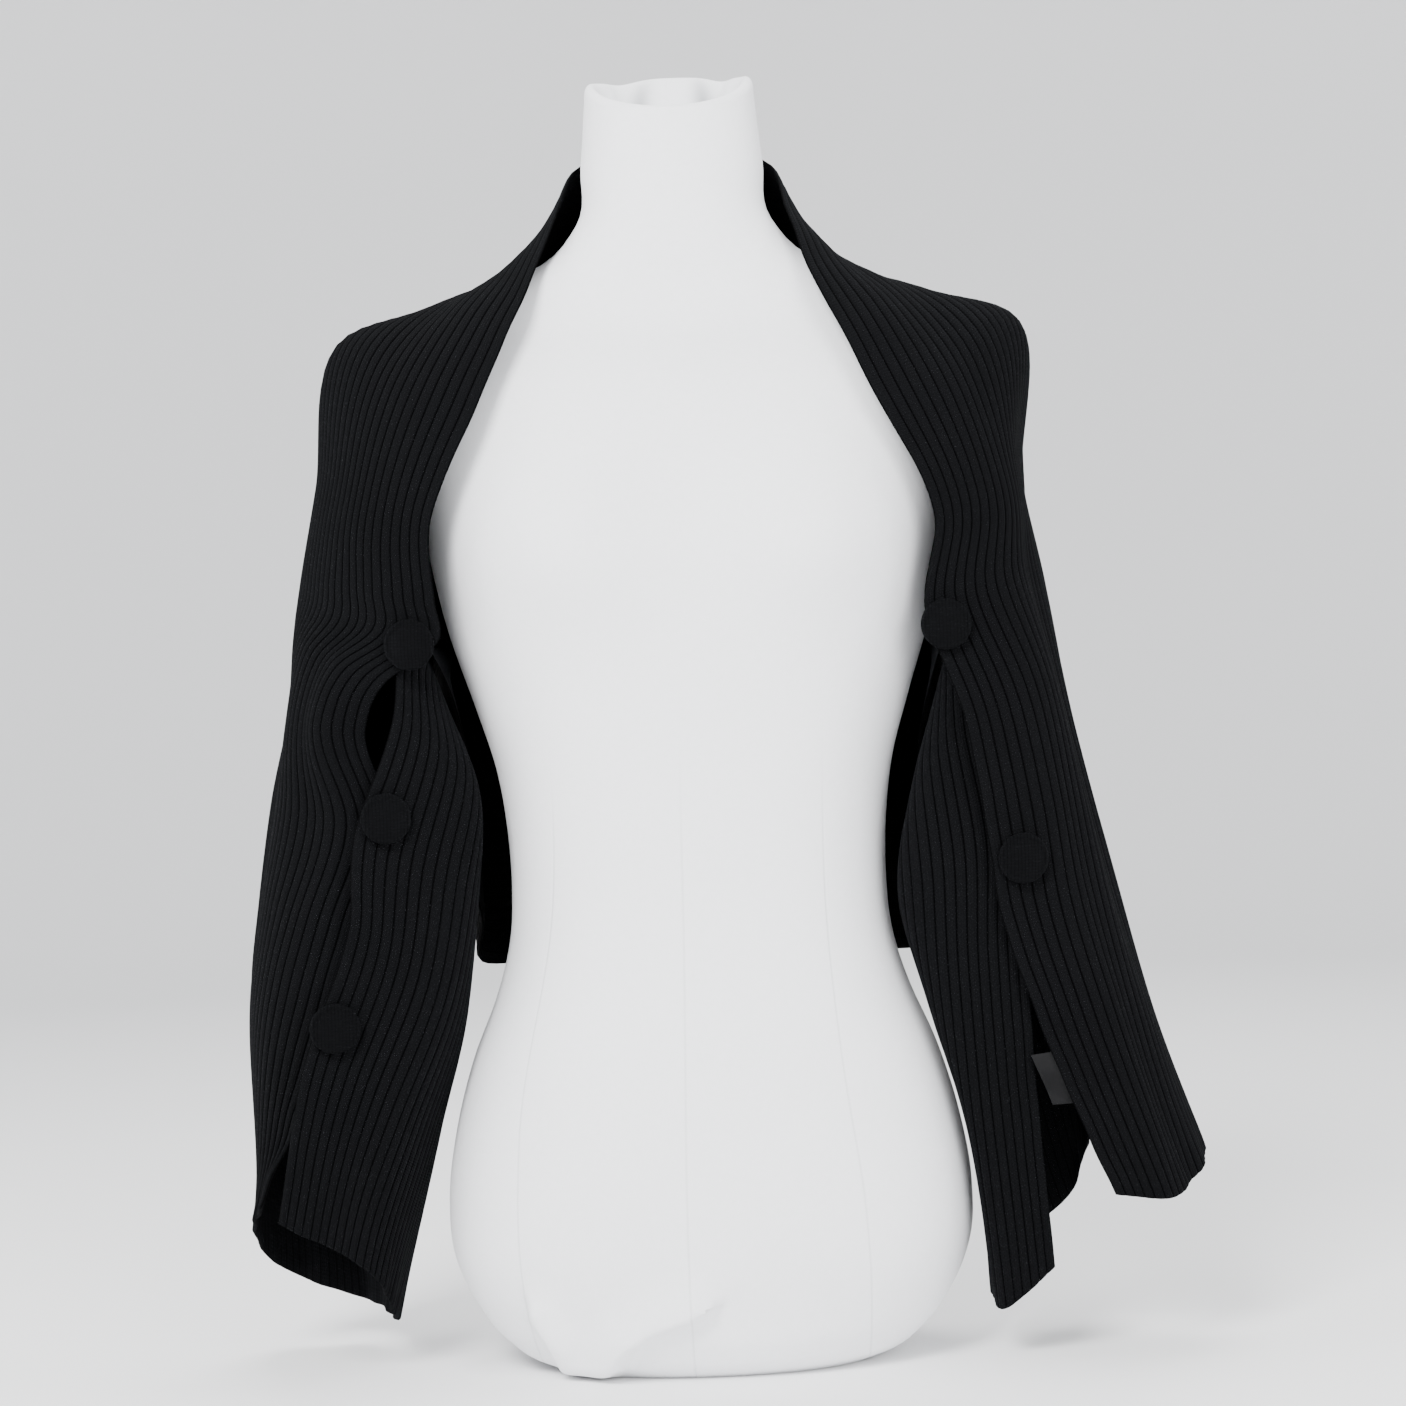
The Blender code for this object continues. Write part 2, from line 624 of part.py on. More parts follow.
def covered_button(button, wall, finish):
    """A domed, cloth-covered button with a rolled rim on a short shank."""
    radius = BUTTON_RADIUS
    seat, rim, out, down = place_on_cloth(
        wall, button.side, button.along, button.across, radius, SHANK_RADIUS
    )
    stem = rim + 0.0006
    profile = (
        (SHANK_RADIUS, 0.0000),
        (SHANK_RADIUS, stem),
        (radius - 0.0012, stem + 0.0004),
        (radius, stem + 0.0020),
        (radius - 0.0007, stem + 0.0038),
        (radius - 0.0028, stem + 0.0046),
        (radius * 0.5, stem + 0.0058),
    )
    across = down.cross(out).normalized()
    frame = Matrix((across, -out.cross(across), out)).transposed().to_4x4()
    frame.translation = seat + out * BUTTON_GAP
    sides = 16
    points = []
    for r, h in profile:
        for k in range(sides):
            turn = 2 * pi * k / sides
            points.append(frame @ Vector((r * cos(turn), r * sin(turn), h)))
    points.append(frame @ Vector((0, 0, stem + 0.0062)))
    faces = [tuple(range(sides))]
    for ring in range(len(profile) - 1):
        for k in range(sides):
            n = (k + 1) % sides
            a, b = ring * sides, (ring + 1) * sides
            faces.append((a + k, a + n, b + n, b + k))
    last = (len(profile) - 1) * sides
    faces += [(last + k, last + (k + 1) % sides, len(points) - 1) for k in range(sides)]
    return mesh_object(button.name, points, faces, finish)


def care_label(finish):
    """A bare satin tab lying inside the right sleeve's edge and standing past it."""
    along = np.linspace(0.690, 0.690 + LABEL_LENGTH, 5)
    across = np.linspace(0.002, 0.022, 3)
    middle, normal = cloth_layers(along, across)
    outward = middle[:, 0] - middle[:, 1]
    outward /= np.linalg.norm(outward, axis=1, keepdims=True)
    inside = middle[:, 1] - normal[:, 1] * (WALL_INSIDE + 0.0005)
    rows = [inside + outward * (LABEL_WIDTH * k - 0.001) - normal[:, 1] * 0.004 * k for k in (0, 0.5, 1)]
    front = np.stack(rows, axis=1)
    back = front - normal[:, 1][:, None, :] * 0.0008
    points = np.concatenate([front.reshape(-1, 3), back.reshape(-1, 3)])
    long, wide = front.shape[:2]
    first = long * wide
    faces = []
    for r in range(long - 1):
        for c in range(wide - 1):
            a = r * wide + c
            faces.append((a, a + 1, a + wide + 1, a + wide))
            faces.append((first + a, first + a + wide, first + a + wide + 1, first + a + 1))
        for c in (0, wide - 1):
            a = r * wide + c
            faces.append((a, a + wide, first + a + wide, first + a))
    for r in (0, long - 1):
        for c in range(wide - 1):
            a = r * wide + c
            faces.append((a, a + 1, first + a + 1, first + a))
    return mesh_object("care_label", points, faces, finish)


clear_scene()
knit = material("black rib knit", (0.012, 0.013, 0.015), 0.9)
cover = material("white jersey cover", (0.86, 0.86, 0.88), 0.75)
button_cloth = material("black knit button", (0.014, 0.015, 0.017), 0.85)
satin = material("black satin", (0.02, 0.02, 0.022), 0.35)

dress_form(cover)
back_end = SLEEVE_START - SEAM_GAP / 2
sleeve_end = SLEEVE_START + SEAM_GAP / 2
half_back = [*BACK_ROWS, back_end]
sleeve = [sleeve_end, *SLEEVE_ROWS]
cloth_wall("wrap_back", [-s for s in reversed(half_back[1:])] + half_back, knit)
left_sleeve = cloth_wall("wrap_left_sleeve", [-s for s in reversed(sleeve)], knit)
right_sleeve = cloth_wall("wrap_right_sleeve", sleeve, knit)
for button in BUTTONS:
    covered_button(button, left_sleeve if button.side < 0 else right_sleeve, button_cloth)
care_label(satin)
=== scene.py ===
# %% [markdown]
# # A ribbed knit shrug on a dress form
#
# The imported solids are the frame: one long rectangle of rib knit, folded round a dress form and
# buttoned into two sleeves. This lesson dresses each solid with a finer surface of the same form,
# worked out with numpy, and gives it a knit, jersey or satin finish. Left and right are as seen
# from the front.

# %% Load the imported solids
from collections import namedtuple
from math import pi, radians, tan

import bpy
import numpy as np
from mathutils import Matrix, Vector


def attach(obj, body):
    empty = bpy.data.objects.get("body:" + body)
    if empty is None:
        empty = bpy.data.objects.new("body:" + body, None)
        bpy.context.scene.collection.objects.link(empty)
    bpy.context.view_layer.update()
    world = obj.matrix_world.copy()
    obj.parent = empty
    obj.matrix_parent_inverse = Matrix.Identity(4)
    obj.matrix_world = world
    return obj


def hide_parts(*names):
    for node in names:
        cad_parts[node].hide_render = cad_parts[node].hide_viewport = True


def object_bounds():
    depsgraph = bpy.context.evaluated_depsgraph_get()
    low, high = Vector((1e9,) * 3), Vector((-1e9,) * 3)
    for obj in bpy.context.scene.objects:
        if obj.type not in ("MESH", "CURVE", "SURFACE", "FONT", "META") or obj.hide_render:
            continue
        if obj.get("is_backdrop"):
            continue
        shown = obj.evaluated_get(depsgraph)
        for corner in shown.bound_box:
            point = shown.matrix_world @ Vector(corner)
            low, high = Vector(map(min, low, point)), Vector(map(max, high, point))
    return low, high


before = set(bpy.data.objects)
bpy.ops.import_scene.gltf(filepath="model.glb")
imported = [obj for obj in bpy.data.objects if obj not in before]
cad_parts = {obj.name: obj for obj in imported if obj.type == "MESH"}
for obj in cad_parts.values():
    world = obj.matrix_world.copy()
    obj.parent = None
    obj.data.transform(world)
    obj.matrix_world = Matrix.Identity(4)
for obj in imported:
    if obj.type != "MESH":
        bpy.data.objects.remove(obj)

cad_box = [list(corner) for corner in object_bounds()]
print("solids to dress:", sorted(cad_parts))

# %% [markdown]
# ## The camera
#
# The photograph looks level at the form from about two metres, and the form leans a little in
# its frame. A lens is worked out so that the frame is as wide as the photograph's, and the camera
# is turned about its own axis by the lean, which keeps the form upright in the model.

# %% Set the camera
PHOTO_PIXELS = 1406
METRES_PER_PIXEL = 0.00062
CAMERA_AWAY = 2.1
LEAN = radians(-2.2)
camera = bpy.data.objects.new("camera", bpy.data.cameras.new("camera"))
bpy.context.scene.collection.objects.link(camera)
bpy.context.scene.camera = camera
camera.data.sensor_width = 36
camera.data.lens = 36 * CAMERA_AWAY / (PHOTO_PIXELS * METRES_PER_PIXEL)
camera.matrix_world = (
    Matrix.Translation((0.0067, -CAMERA_AWAY, 0.404))
    @ Matrix.Rotation(radians(90), 4, "X")
    @ Matrix.Rotation(LEAN, 4, "Z")
)
print("lens", round(camera.data.lens, 1), "mm")

# %% [markdown]
# ## Finishes as expressions
#
# A shader is a small sum, so it is written as one. `Wire` holds a socket and adds a Math node for
# every operator, and `Finish.node` makes any other node: its settings first, then its sockets.

# %% Wires and finishes
class Wire:
    """A socket that takes part in arithmetic: each operator adds one Math node."""

    def __init__(self, finish, socket):
        self.finish = finish
        self.socket = socket

    def math(self, operation, *values):
        settings = {"operation": operation}
        sockets = dict(enumerate(values))
        return self.finish.node("ShaderNodeMath", settings, sockets)

    def __add__(self, other):
        return self.math("ADD", self, other)

    def __radd__(self, other):
        return self.math("ADD", other, self)

    def __sub__(self, other):
        return self.math("SUBTRACT", self, other)

    def __rsub__(self, other):
        return self.math("SUBTRACT", other, self)

    def __mul__(self, other):
        return self.math("MULTIPLY", self, other)

    def __rmul__(self, other):
        return self.math("MULTIPLY", other, self)

    def __truediv__(self, other):
        return self.math("DIVIDE", self, other)

    def __abs__(self):
        return self.math("ABSOLUTE", self)

    def share(self):
        """What is left of the value after its whole number."""
        return self.math("FRACT", self)

    def sine(self):
        """The sine of the value, in radians."""
        return self.math("SINE", self)

    def between(self, low, high):
        """0 below low, 1 above high and a smooth step from one to the other."""
        settings = {"interpolation_type": "SMOOTHSTEP"}
        return self.finish.node("ShaderNodeMapRange", settings, {0: self, 1: low, 2: high})


class Finish:
    """A Principled material that is built up with node()."""

    def __init__(self, name, roughness, **constants):
        self.material = bpy.data.materials.new(name)
        self.material.use_nodes = True
        self.tree = self.material.node_tree
        self.shader = self.tree.nodes["Principled BSDF"]
        self.shader.inputs["Roughness"].default_value = roughness
        for socket, value in constants.items():
            self.shader.inputs[socket.replace("_", " ")].default_value = value

    def join(self, socket, value):
        """Link a wire to the socket, or set a plain value on it."""
        if isinstance(value, Wire):
            self.tree.links.new(value.socket, socket)
        else:
            socket.default_value = value

    def node(self, kind, settings=None, sockets=None, output=0):
        """A new node, filled in, as the wire of one of its outputs."""
        made = self.tree.nodes.new(kind)
        for key, value in (settings or {}).items():
            setattr(made, key, value)
        for key, value in (sockets or {}).items():
            self.join(made.inputs[key], value)
        return Wire(self, made.outputs[output])

    def colour(self, share, low, high):
        """A colour that runs from low to high with share."""
        settings = {"data_type": "RGBA", "clamp_factor": True}
        sockets = {"Factor": share, 6: (*low, 1), 7: (*high, 1)}
        return self.node("ShaderNodeMix", settings, sockets, 2)

    def noise(self, scale, detail=2.0):
        """Noise over the object's own coordinates."""
        place = self.node("ShaderNodeTexCoord", output=3)
        return self.node("ShaderNodeTexNoise", None, {"Vector": place, "Scale": scale, "Detail": detail})

    def number(self, name):
        """A number that the mesh keeps for each of its points."""
        return self.node("ShaderNodeAttribute", {"attribute_name": name}, None, 2)

    def cloth_place(self):
        """Two wires from the cloth's own UV map, in metres: across the ribs and along them."""
        place = self.node("ShaderNodeUVMap", {"uv_map": "cloth"})
        return [self.node("ShaderNodeSeparateXYZ", None, {0: place}, output) for output in (0, 1)]

    def bump(self, height, distance, strength):
        """Tilt the normal as a height of up to distance metres would."""
        sockets = {"Strength": strength, "Distance": distance, "Height": height}
        self.join(self.shader.inputs["Normal"], self.node("ShaderNodeBump", None, sockets))

    def use(self, **links):
        """Join values to the shader's sockets by name."""
        for socket, value in links.items():
            self.join(self.shader.inputs[socket.replace("_", " ")], value)

# %% [markdown]
# ## Rib knit
#
# The cloth is a heavy black rib knit: raised columns of stitches with narrow sunken ones
# between. The ribs themselves are form, so the mesh has them. The finish adds what is finer:
# painted shade on the valley floor, four columns of V-shaped stitches to a rib and a dry, slightly
# fuzzy face.
# The cloth's own UV map is in metres, across and along the ribs, so a stitch keeps its size
# wherever the cloth goes.

# %% The rib knit finish
CLOTH_WIDTH = 0.52
RIBS = 72
RIB_PITCH = CLOTH_WIDTH / RIBS
STITCH_HEIGHT = 0.0019
STITCH_COLUMNS = 4
STITCH_SLANT = 1.1
STITCH_RELIEF = 0.0006
BUTTON_PITCH = 0.0021
# Colours of the knit: the dark one is reached mostly on the valley floor, where it is painted shade
KNIT_DARK = (0.0002, 0.0002, 0.0003)
KNIT_LIGHT = (0.0042, 0.0044, 0.0050)


def knit_finish(name, pitch):
    """V stitches: a sine along the column whose phase falls away on both sides of its middle."""
    knit = Finish(name, 0.9, Sheen_Weight=0.008, Sheen_Roughness=0.4, Specular_IOR_Level=0.03)
    knit.shader.inputs["Sheen Tint"].default_value = (0.80, 0.86, 1.0, 1)
    over, along = knit.cloth_place()
    # The sunken column between two ribs: it lowers the bump and paints shade on the valley floor
    valley_bump_and_shade = abs((over / pitch).share() - 0.5).between(0.36, 0.5)
    column = abs((over * (STITCH_COLUMNS / pitch)).share() - 0.5)
    stitch = ((along / STITCH_HEIGHT + column * STITCH_SLANT) * (2 * pi)).sine()
    fuzz = knit.noise(900, 3)
    patch = knit.noise(14, 2)
    # Lightness of the colour: random tone and stitches, with painted shade in the valleys
    light = (1 - valley_bump_and_shade) * (0.45 + 0.30 * patch + 0.25 * fuzz) + stitch * 0.10
    knit.use(Base_Color=knit.colour(light, KNIT_DARK, KNIT_LIGHT), Roughness=0.80 + 0.18 * fuzz)
    height = (1 - column * column * 3.2) * (0.62 + 0.38 * stitch) * (1 - 0.6 * valley_bump_and_shade)
    knit.bump(height + fuzz * 0.35, STITCH_RELIEF, 0.85)
    return knit.material


rib_knit = knit_finish("black rib knit", RIB_PITCH)
print("rib pitch", round(RIB_PITCH * 1000, 1), "mm")

# %% [markdown]
# ## Jersey, button cloth and satin
#
# The form wears a tight white jersey cover. Its stitches are too fine to see, so a soft, dry face
# with a trace of unevenness is enough, with a sunken line where the panels are sewn together. The
# buttons are covered with the same yarn in a finer stitch, and the tab in the cuff is black satin.

# %% The other finishes
SEAM_NAMES = ("seam_left", "seam_right", "seam_middle")
SEAM_HALF_WIDTH = 0.0011
JERSEY_DARK = (0.30, 0.31, 0.32)
JERSEY_LIGHT = (0.87, 0.875, 0.895)
# The satin's colours: the light one is reached on the thread crests, where it is a painted highlight, and
# where the random tone is high
SATIN_DARK = (0.0008, 0.0008, 0.0010)
SATIN_LIGHT = (0.0075, 0.0076, 0.0084)
THREAD_PITCH = 0.0006


def jersey_finish():
    """A white face with painted shade in the gaps of the tuck, that sinks where the way to a seam is near
    0.
    """
    jersey = Finish("white jersey", 0.72, Sheen_Weight=0.12, Specular_IOR_Level=0.3)
    seams = [1 - abs(jersey.number(name)).between(0.0, SEAM_HALF_WIDTH) for name in SEAM_NAMES]
    line = (seams[0] + seams[1] + seams[2]) * jersey.number("seam_strength")
    tone = 0.5 * jersey.noise(9) + 0.5 * jersey.noise(260, 3)
    # The last factor is painted shade: it darkens the colour in the two gaps of the neck's tuck
    shade = (tone * 0.18 + 0.82 - line * 0.18) * (1 - jersey.number("painted_gap_shade"))
    jersey.use(
        Base_Color=jersey.colour(shade, JERSEY_DARK, JERSEY_LIGHT),
        Roughness=0.64 + 0.16 * jersey.noise(340, 2),
    )
    jersey.bump(jersey.noise(1500, 2) * 0.5 - line * 1.2, 0.0003, 0.6)
    return jersey.material


def satin_finish():
    """Fine ribs of thread across the tab, with gloss that the threads break up and a painted highlight on
    each thread's crest.
    """
    satin = Finish("black satin", 0.45, Specular_IOR_Level=0.08)
    thread = (satin.cloth_place()[1] * (2 * pi / THREAD_PITCH)).sine()
    # The thread term is a painted highlight along each thread's crest; the noise term is random tone
    tone = 0.5 + 0.25 * thread + 0.4 * (satin.noise(220) - 0.5)
    satin.use(Base_Color=satin.colour(tone, SATIN_DARK, SATIN_LIGHT))
    satin.use(Roughness=0.38 + 0.2 * satin.noise(500))
    satin.bump(thread, 0.0001, 0.5)
    return satin.material


button_knit = knit_finish("black knit button", BUTTON_PITCH)
jersey = jersey_finish()
satin = satin_finish()
print("finishes:", [m.name for m in (rib_knit, button_knit, jersey, satin)])

# %% [markdown]
# ## Smooth curves through a few sections
#
# The cloth and the form are both given by a few sections with named sizes. `through` joins them:
# between two knots it is the cubic that leaves and arrives with the slopes of its neighbours.

# %% Curves, meshes and their coordinates
SHARP_FROM = radians(55)


def through(knots, values, at):
    """Cubic pieces through the values, each with the mean slope of the two steps that meet."""
    knots = np.asarray(knots, float)
    values = np.asarray(values, float)
    step = np.diff(knots)
    slope = np.diff(values, axis=0) / step[:, None]
    tangent = np.empty_like(values)
    tangent[0] = slope[0]
    tangent[-1] = slope[-1]
    before = step[:-1, None]
    after = step[1:, None]
    tangent[1:-1] = (slope[:-1] * after + slope[1:] * before) / (before + after)
    at = np.clip(np.asarray(at, float), knots[0], knots[-1])
    i = np.clip(np.searchsorted(knots, at, side="right") - 1, 0, len(step) - 1)
    h = step[i][:, None]
    u = ((at - knots[i]) / step[i])[:, None]
    return (
        values[i] * (1 + 2 * u) * (1 - u) ** 2
        + tangent[i] * h * u * (1 - u) ** 2
        + values[i + 1] * u * u * (3 - 2 * u)
        + tangent[i + 1] * h * u * u * (u - 1)
    )


def ease(value):
    """0 to 1 with a level start and end."""
    value = np.clip(value, 0, 1)
    return value * value * (3 - 2 * value)


def bell(distance, width):
    """1 at distance 0, down to 0 on both sides: e to the power -(distance / width) squared."""
    return np.exp(-((distance / width) ** 2))


def turned_from(middle, angle):
    """The turn in degrees from middle to angle, by the shorter way."""
    return (angle - middle + 180) % 360 - 180


def make_piece(name, points, faces, finish, flat=None, numbers=None):
    """One named mesh at the origin. flat is each point's place on the flat cloth, in metres."""
    mesh = bpy.data.meshes.new(name)
    mesh.from_pydata(points.tolist(), [], faces)
    if flat is not None:
        corners = np.empty(len(mesh.loops), np.int32)
        mesh.loops.foreach_get("vertex_index", corners)
        mesh.uv_layers.new(name="cloth").data.foreach_set("uv", flat[corners].ravel())
    for key, values in (numbers or {}).items():
        mesh.attributes.new(key, "FLOAT", "POINT").data.foreach_set("value", values)
    mesh.shade_smooth()
    mesh.set_sharp_from_angle(angle=SHARP_FROM)
    mesh.materials.append(finish)
    piece = bpy.data.objects.new(name, mesh)
    bpy.context.scene.collection.objects.link(piece)
    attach(piece, "root")
    print(name, "has", len(mesh.polygons), "faces")
    return piece


def quads(rows, columns, closed=False, first=0):
    """Faces of a grid whose rows run up the shape; a closed one joins its last column to its first."""
    row = np.arange(rows - 1)[:, None] * columns + first
    column = np.arange(columns if closed else columns - 1)[None, :]
    after = (column + 1) % columns
    corners = (row + column, row + after, row + columns + after, row + columns + column)
    return np.stack(np.broadcast_arrays(*corners), axis=2).reshape(-1, 4)


def fan(rim, sides, tip, below=False):
    """Triangles from a closed row of points, the first of them rim, to the point tip."""
    side = np.arange(sides)
    edge = [rim + side, rim + (side + 1) % sides]
    return np.stack([*(edge[::-1] if below else edge), np.full_like(side, tip)], axis=1).tolist()

# %% [markdown]
# ## The dress form
#
# A shop form is a moulded shell in a stretch cover. It has no limbs: a neck with a dished top,
# shoulders, a bust, a waist and hips on a flat base. Level slices give it, each a rounded oval
# with its own half width, front and back depth. It is drawn in by a millimetre where cloth lies
# on it, so that the finer cloth stays clear.

# %% Sizes of the form
FORM_SIDES = 264
FORM_DRAWN_IN = 0.0012
CLOTH_LOW = 0.20
CLOTH_HIGH = 0.745
HEM_TOP = 0.05
NECK_TILT = radians(17)
OVAL_POWER = 2 / 2.25
Slice = namedtuple("Slice", "height half_width front back")
FORM = (
    Slice(0.000, 0.098, 0.070, 0.078),
    Slice(0.005, 0.112, 0.080, 0.090),
    Slice(0.018, 0.130, 0.092, 0.102),
    Slice(0.040, 0.147, 0.101, 0.113),
    Slice(0.071, 0.160, 0.110, 0.124),
    Slice(0.102, 0.162, 0.112, 0.128),
    Slice(0.146, 0.156, 0.108, 0.124),
    Slice(0.189, 0.144, 0.100, 0.110),
    Slice(0.229, 0.128, 0.092, 0.094),
    Slice(0.264, 0.119, 0.088, 0.083),
    Slice(0.295, 0.117, 0.087, 0.079),
    Slice(0.326, 0.118, 0.089, 0.080),
    Slice(0.369, 0.124, 0.093, 0.085),
    Slice(0.406, 0.135, 0.097, 0.091),
    Slice(0.453, 0.150, 0.101, 0.098),
    Slice(0.499, 0.160, 0.102, 0.103),
    Slice(0.540, 0.167, 0.098, 0.105),
    Slice(0.575, 0.178, 0.088, 0.103),
    Slice(0.600, 0.186, 0.076, 0.096),
    Slice(0.618, 0.186, 0.063, 0.086),
    Slice(0.632, 0.178, 0.052, 0.076),
    Slice(0.646, 0.157, 0.046, 0.067),
    Slice(0.661, 0.125, 0.044, 0.060),
    Slice(0.677, 0.0865, 0.046, 0.054),
    Slice(0.700, 0.063, 0.047, 0.049),
    Slice(0.738, 0.057, 0.046, 0.045),
    Slice(0.780, 0.053, 0.045, 0.041),
)
NECK_TOP = FORM[-1]
BUST_HEIGHT = 0.500
BUST_OUT = 0.078
BUST_RISE = 0.024
BUST_SPREAD = 0.050
print("slices:", len(FORM))

# %% [markdown]
# The neck's top is soft: the cover is tucked in over a rolled rim, with a low horn on each side
# and two sunken gaps at the back where the tuck doesn't reach, with painted shade in them. At the
# bottom, in front, the cover is drawn into a small fold that hangs to the floor. Seams run down the
# panels from the waist.

# %% The rim, the hanging fold and the seams
Ring = namedtuple("Ring", "inset lift")
NECK_RINGS = (
    Ring(1.000, 0.0000),
    Ring(0.990, 0.0036),
    Ring(0.960, 0.0060),
    Ring(0.915, 0.0066),
    Ring(0.865, 0.0050),
    Ring(0.820, 0.0000),
    Ring(0.780, -0.0080),
    Ring(0.720, -0.0160),
    Ring(0.500, -0.0190),
    Ring(0.250, -0.0170),
    Ring(0.040, -0.0165),
)
Dent = namedtuple("Dent", "angle spread inset reach lift")
NECK_DENTS = (
    Dent(90, 30, 0.92, 0.20, 0.0042),
    Dent(270, 30, 0.92, 0.20, 0.0030),
    Dent(0, 52, 0.95, 0.28, -0.0062),
    Dent(142, 10, 0.80, 0.10, -0.0200),
    Dent(214, 12, 0.80, 0.10, -0.0200),
    Dent(178, 30, 0.78, 0.12, 0.0030),
)
GAP_DEPTH = -0.01
# The next three numbers size the painted shade in the two gaps: its spread round the rim in degrees, its
# place in from the rim and its reach
GAP_SHADE_SPREAD = 13
GAP_SHADE_INSET = 0.80
GAP_SHADE_REACH = 0.09
Crest = namedtuple("Crest", "line soft steep height side")
HEM_FOLDS = (
    Crest(
        line=((-0.012, 0.045), (-0.036, 0.037), (-0.052, 0.026), (-0.064, 0.008), (-0.066, 0.0)),
        soft=0.015, steep=0.0050, height=0.0105, side=1,
    ),
    Crest(
        line=((-0.106, 0.042), (-0.097, 0.026), (-0.089, 0.008), (-0.086, 0.0)),
        soft=0.011, steep=0.0046, height=0.0078, side=-1,
    ),
)
Seam = namedtuple("Seam", "high out")
SEAMS = {
    "seam_left": (
        Seam(0.00, -0.104),
        Seam(0.05, -0.113),
        Seam(0.149, -0.113),
        Seam(0.282, -0.089),
        Seam(0.42, -0.086),
    ),
    "seam_right": (
        Seam(0.00, 0.092),
        Seam(0.03, 0.0935),
        Seam(0.10, 0.092),
        Seam(0.186, 0.082),
        Seam(0.268, 0.0763),
        Seam(0.42, 0.078),
    ),
    "seam_middle": (
        Seam(0.00, -0.013),
        Seam(0.049, -0.014),
        Seam(0.268, -0.010),
        Seam(0.42, -0.008),
    ),
}


def form_slice(height, half_width, front, back, angle):
    """An oval with softened corners: sine and cosine to the power 0.89, plus two soft bust mounds."""
    side = np.sin(angle)
    ahead = np.cos(angle)
    x = half_width * np.sign(side) * np.abs(side) ** OVAL_POWER
    y = -np.sign(ahead) * np.abs(ahead) ** OVAL_POWER * np.where(ahead > 0, front, back)
    for centre in (-BUST_OUT, BUST_OUT):
        near = bell(height - BUST_HEIGHT, BUST_SPREAD) * bell(x - centre, BUST_SPREAD)
        y = y - BUST_RISE * near * np.clip(ahead * 2, 0, 1)
    return x, y


def crest_rise(x, z, crest):
    """A bell over the distance to a line of points: soft on one side of it, steep on the other."""
    line = np.array(crest.line)
    nearest = np.full(x.shape, np.inf)
    signed = np.zeros(x.shape)
    for start, end in zip(line[:-1], line[1:]):
        run = end - start
        share = np.clip(((x - start[0]) * run[0] + (z - start[1]) * run[1]) / (run @ run), 0, 1)
        gap_x = x - start[0] - run[0] * share
        gap_z = z - start[1] - run[1] * share
        gap = np.hypot(gap_x, gap_z)
        turn = np.sign(run[0] * gap_z - run[1] * gap_x) * gap
        signed = np.where(gap < nearest, turn, signed)
        nearest = np.minimum(gap, nearest)
    inner = signed * crest.side < 0
    return crest.height * bell(nearest, np.where(inner, crest.soft, crest.steep))


print("rings in the neck's top:", len(NECK_RINGS))

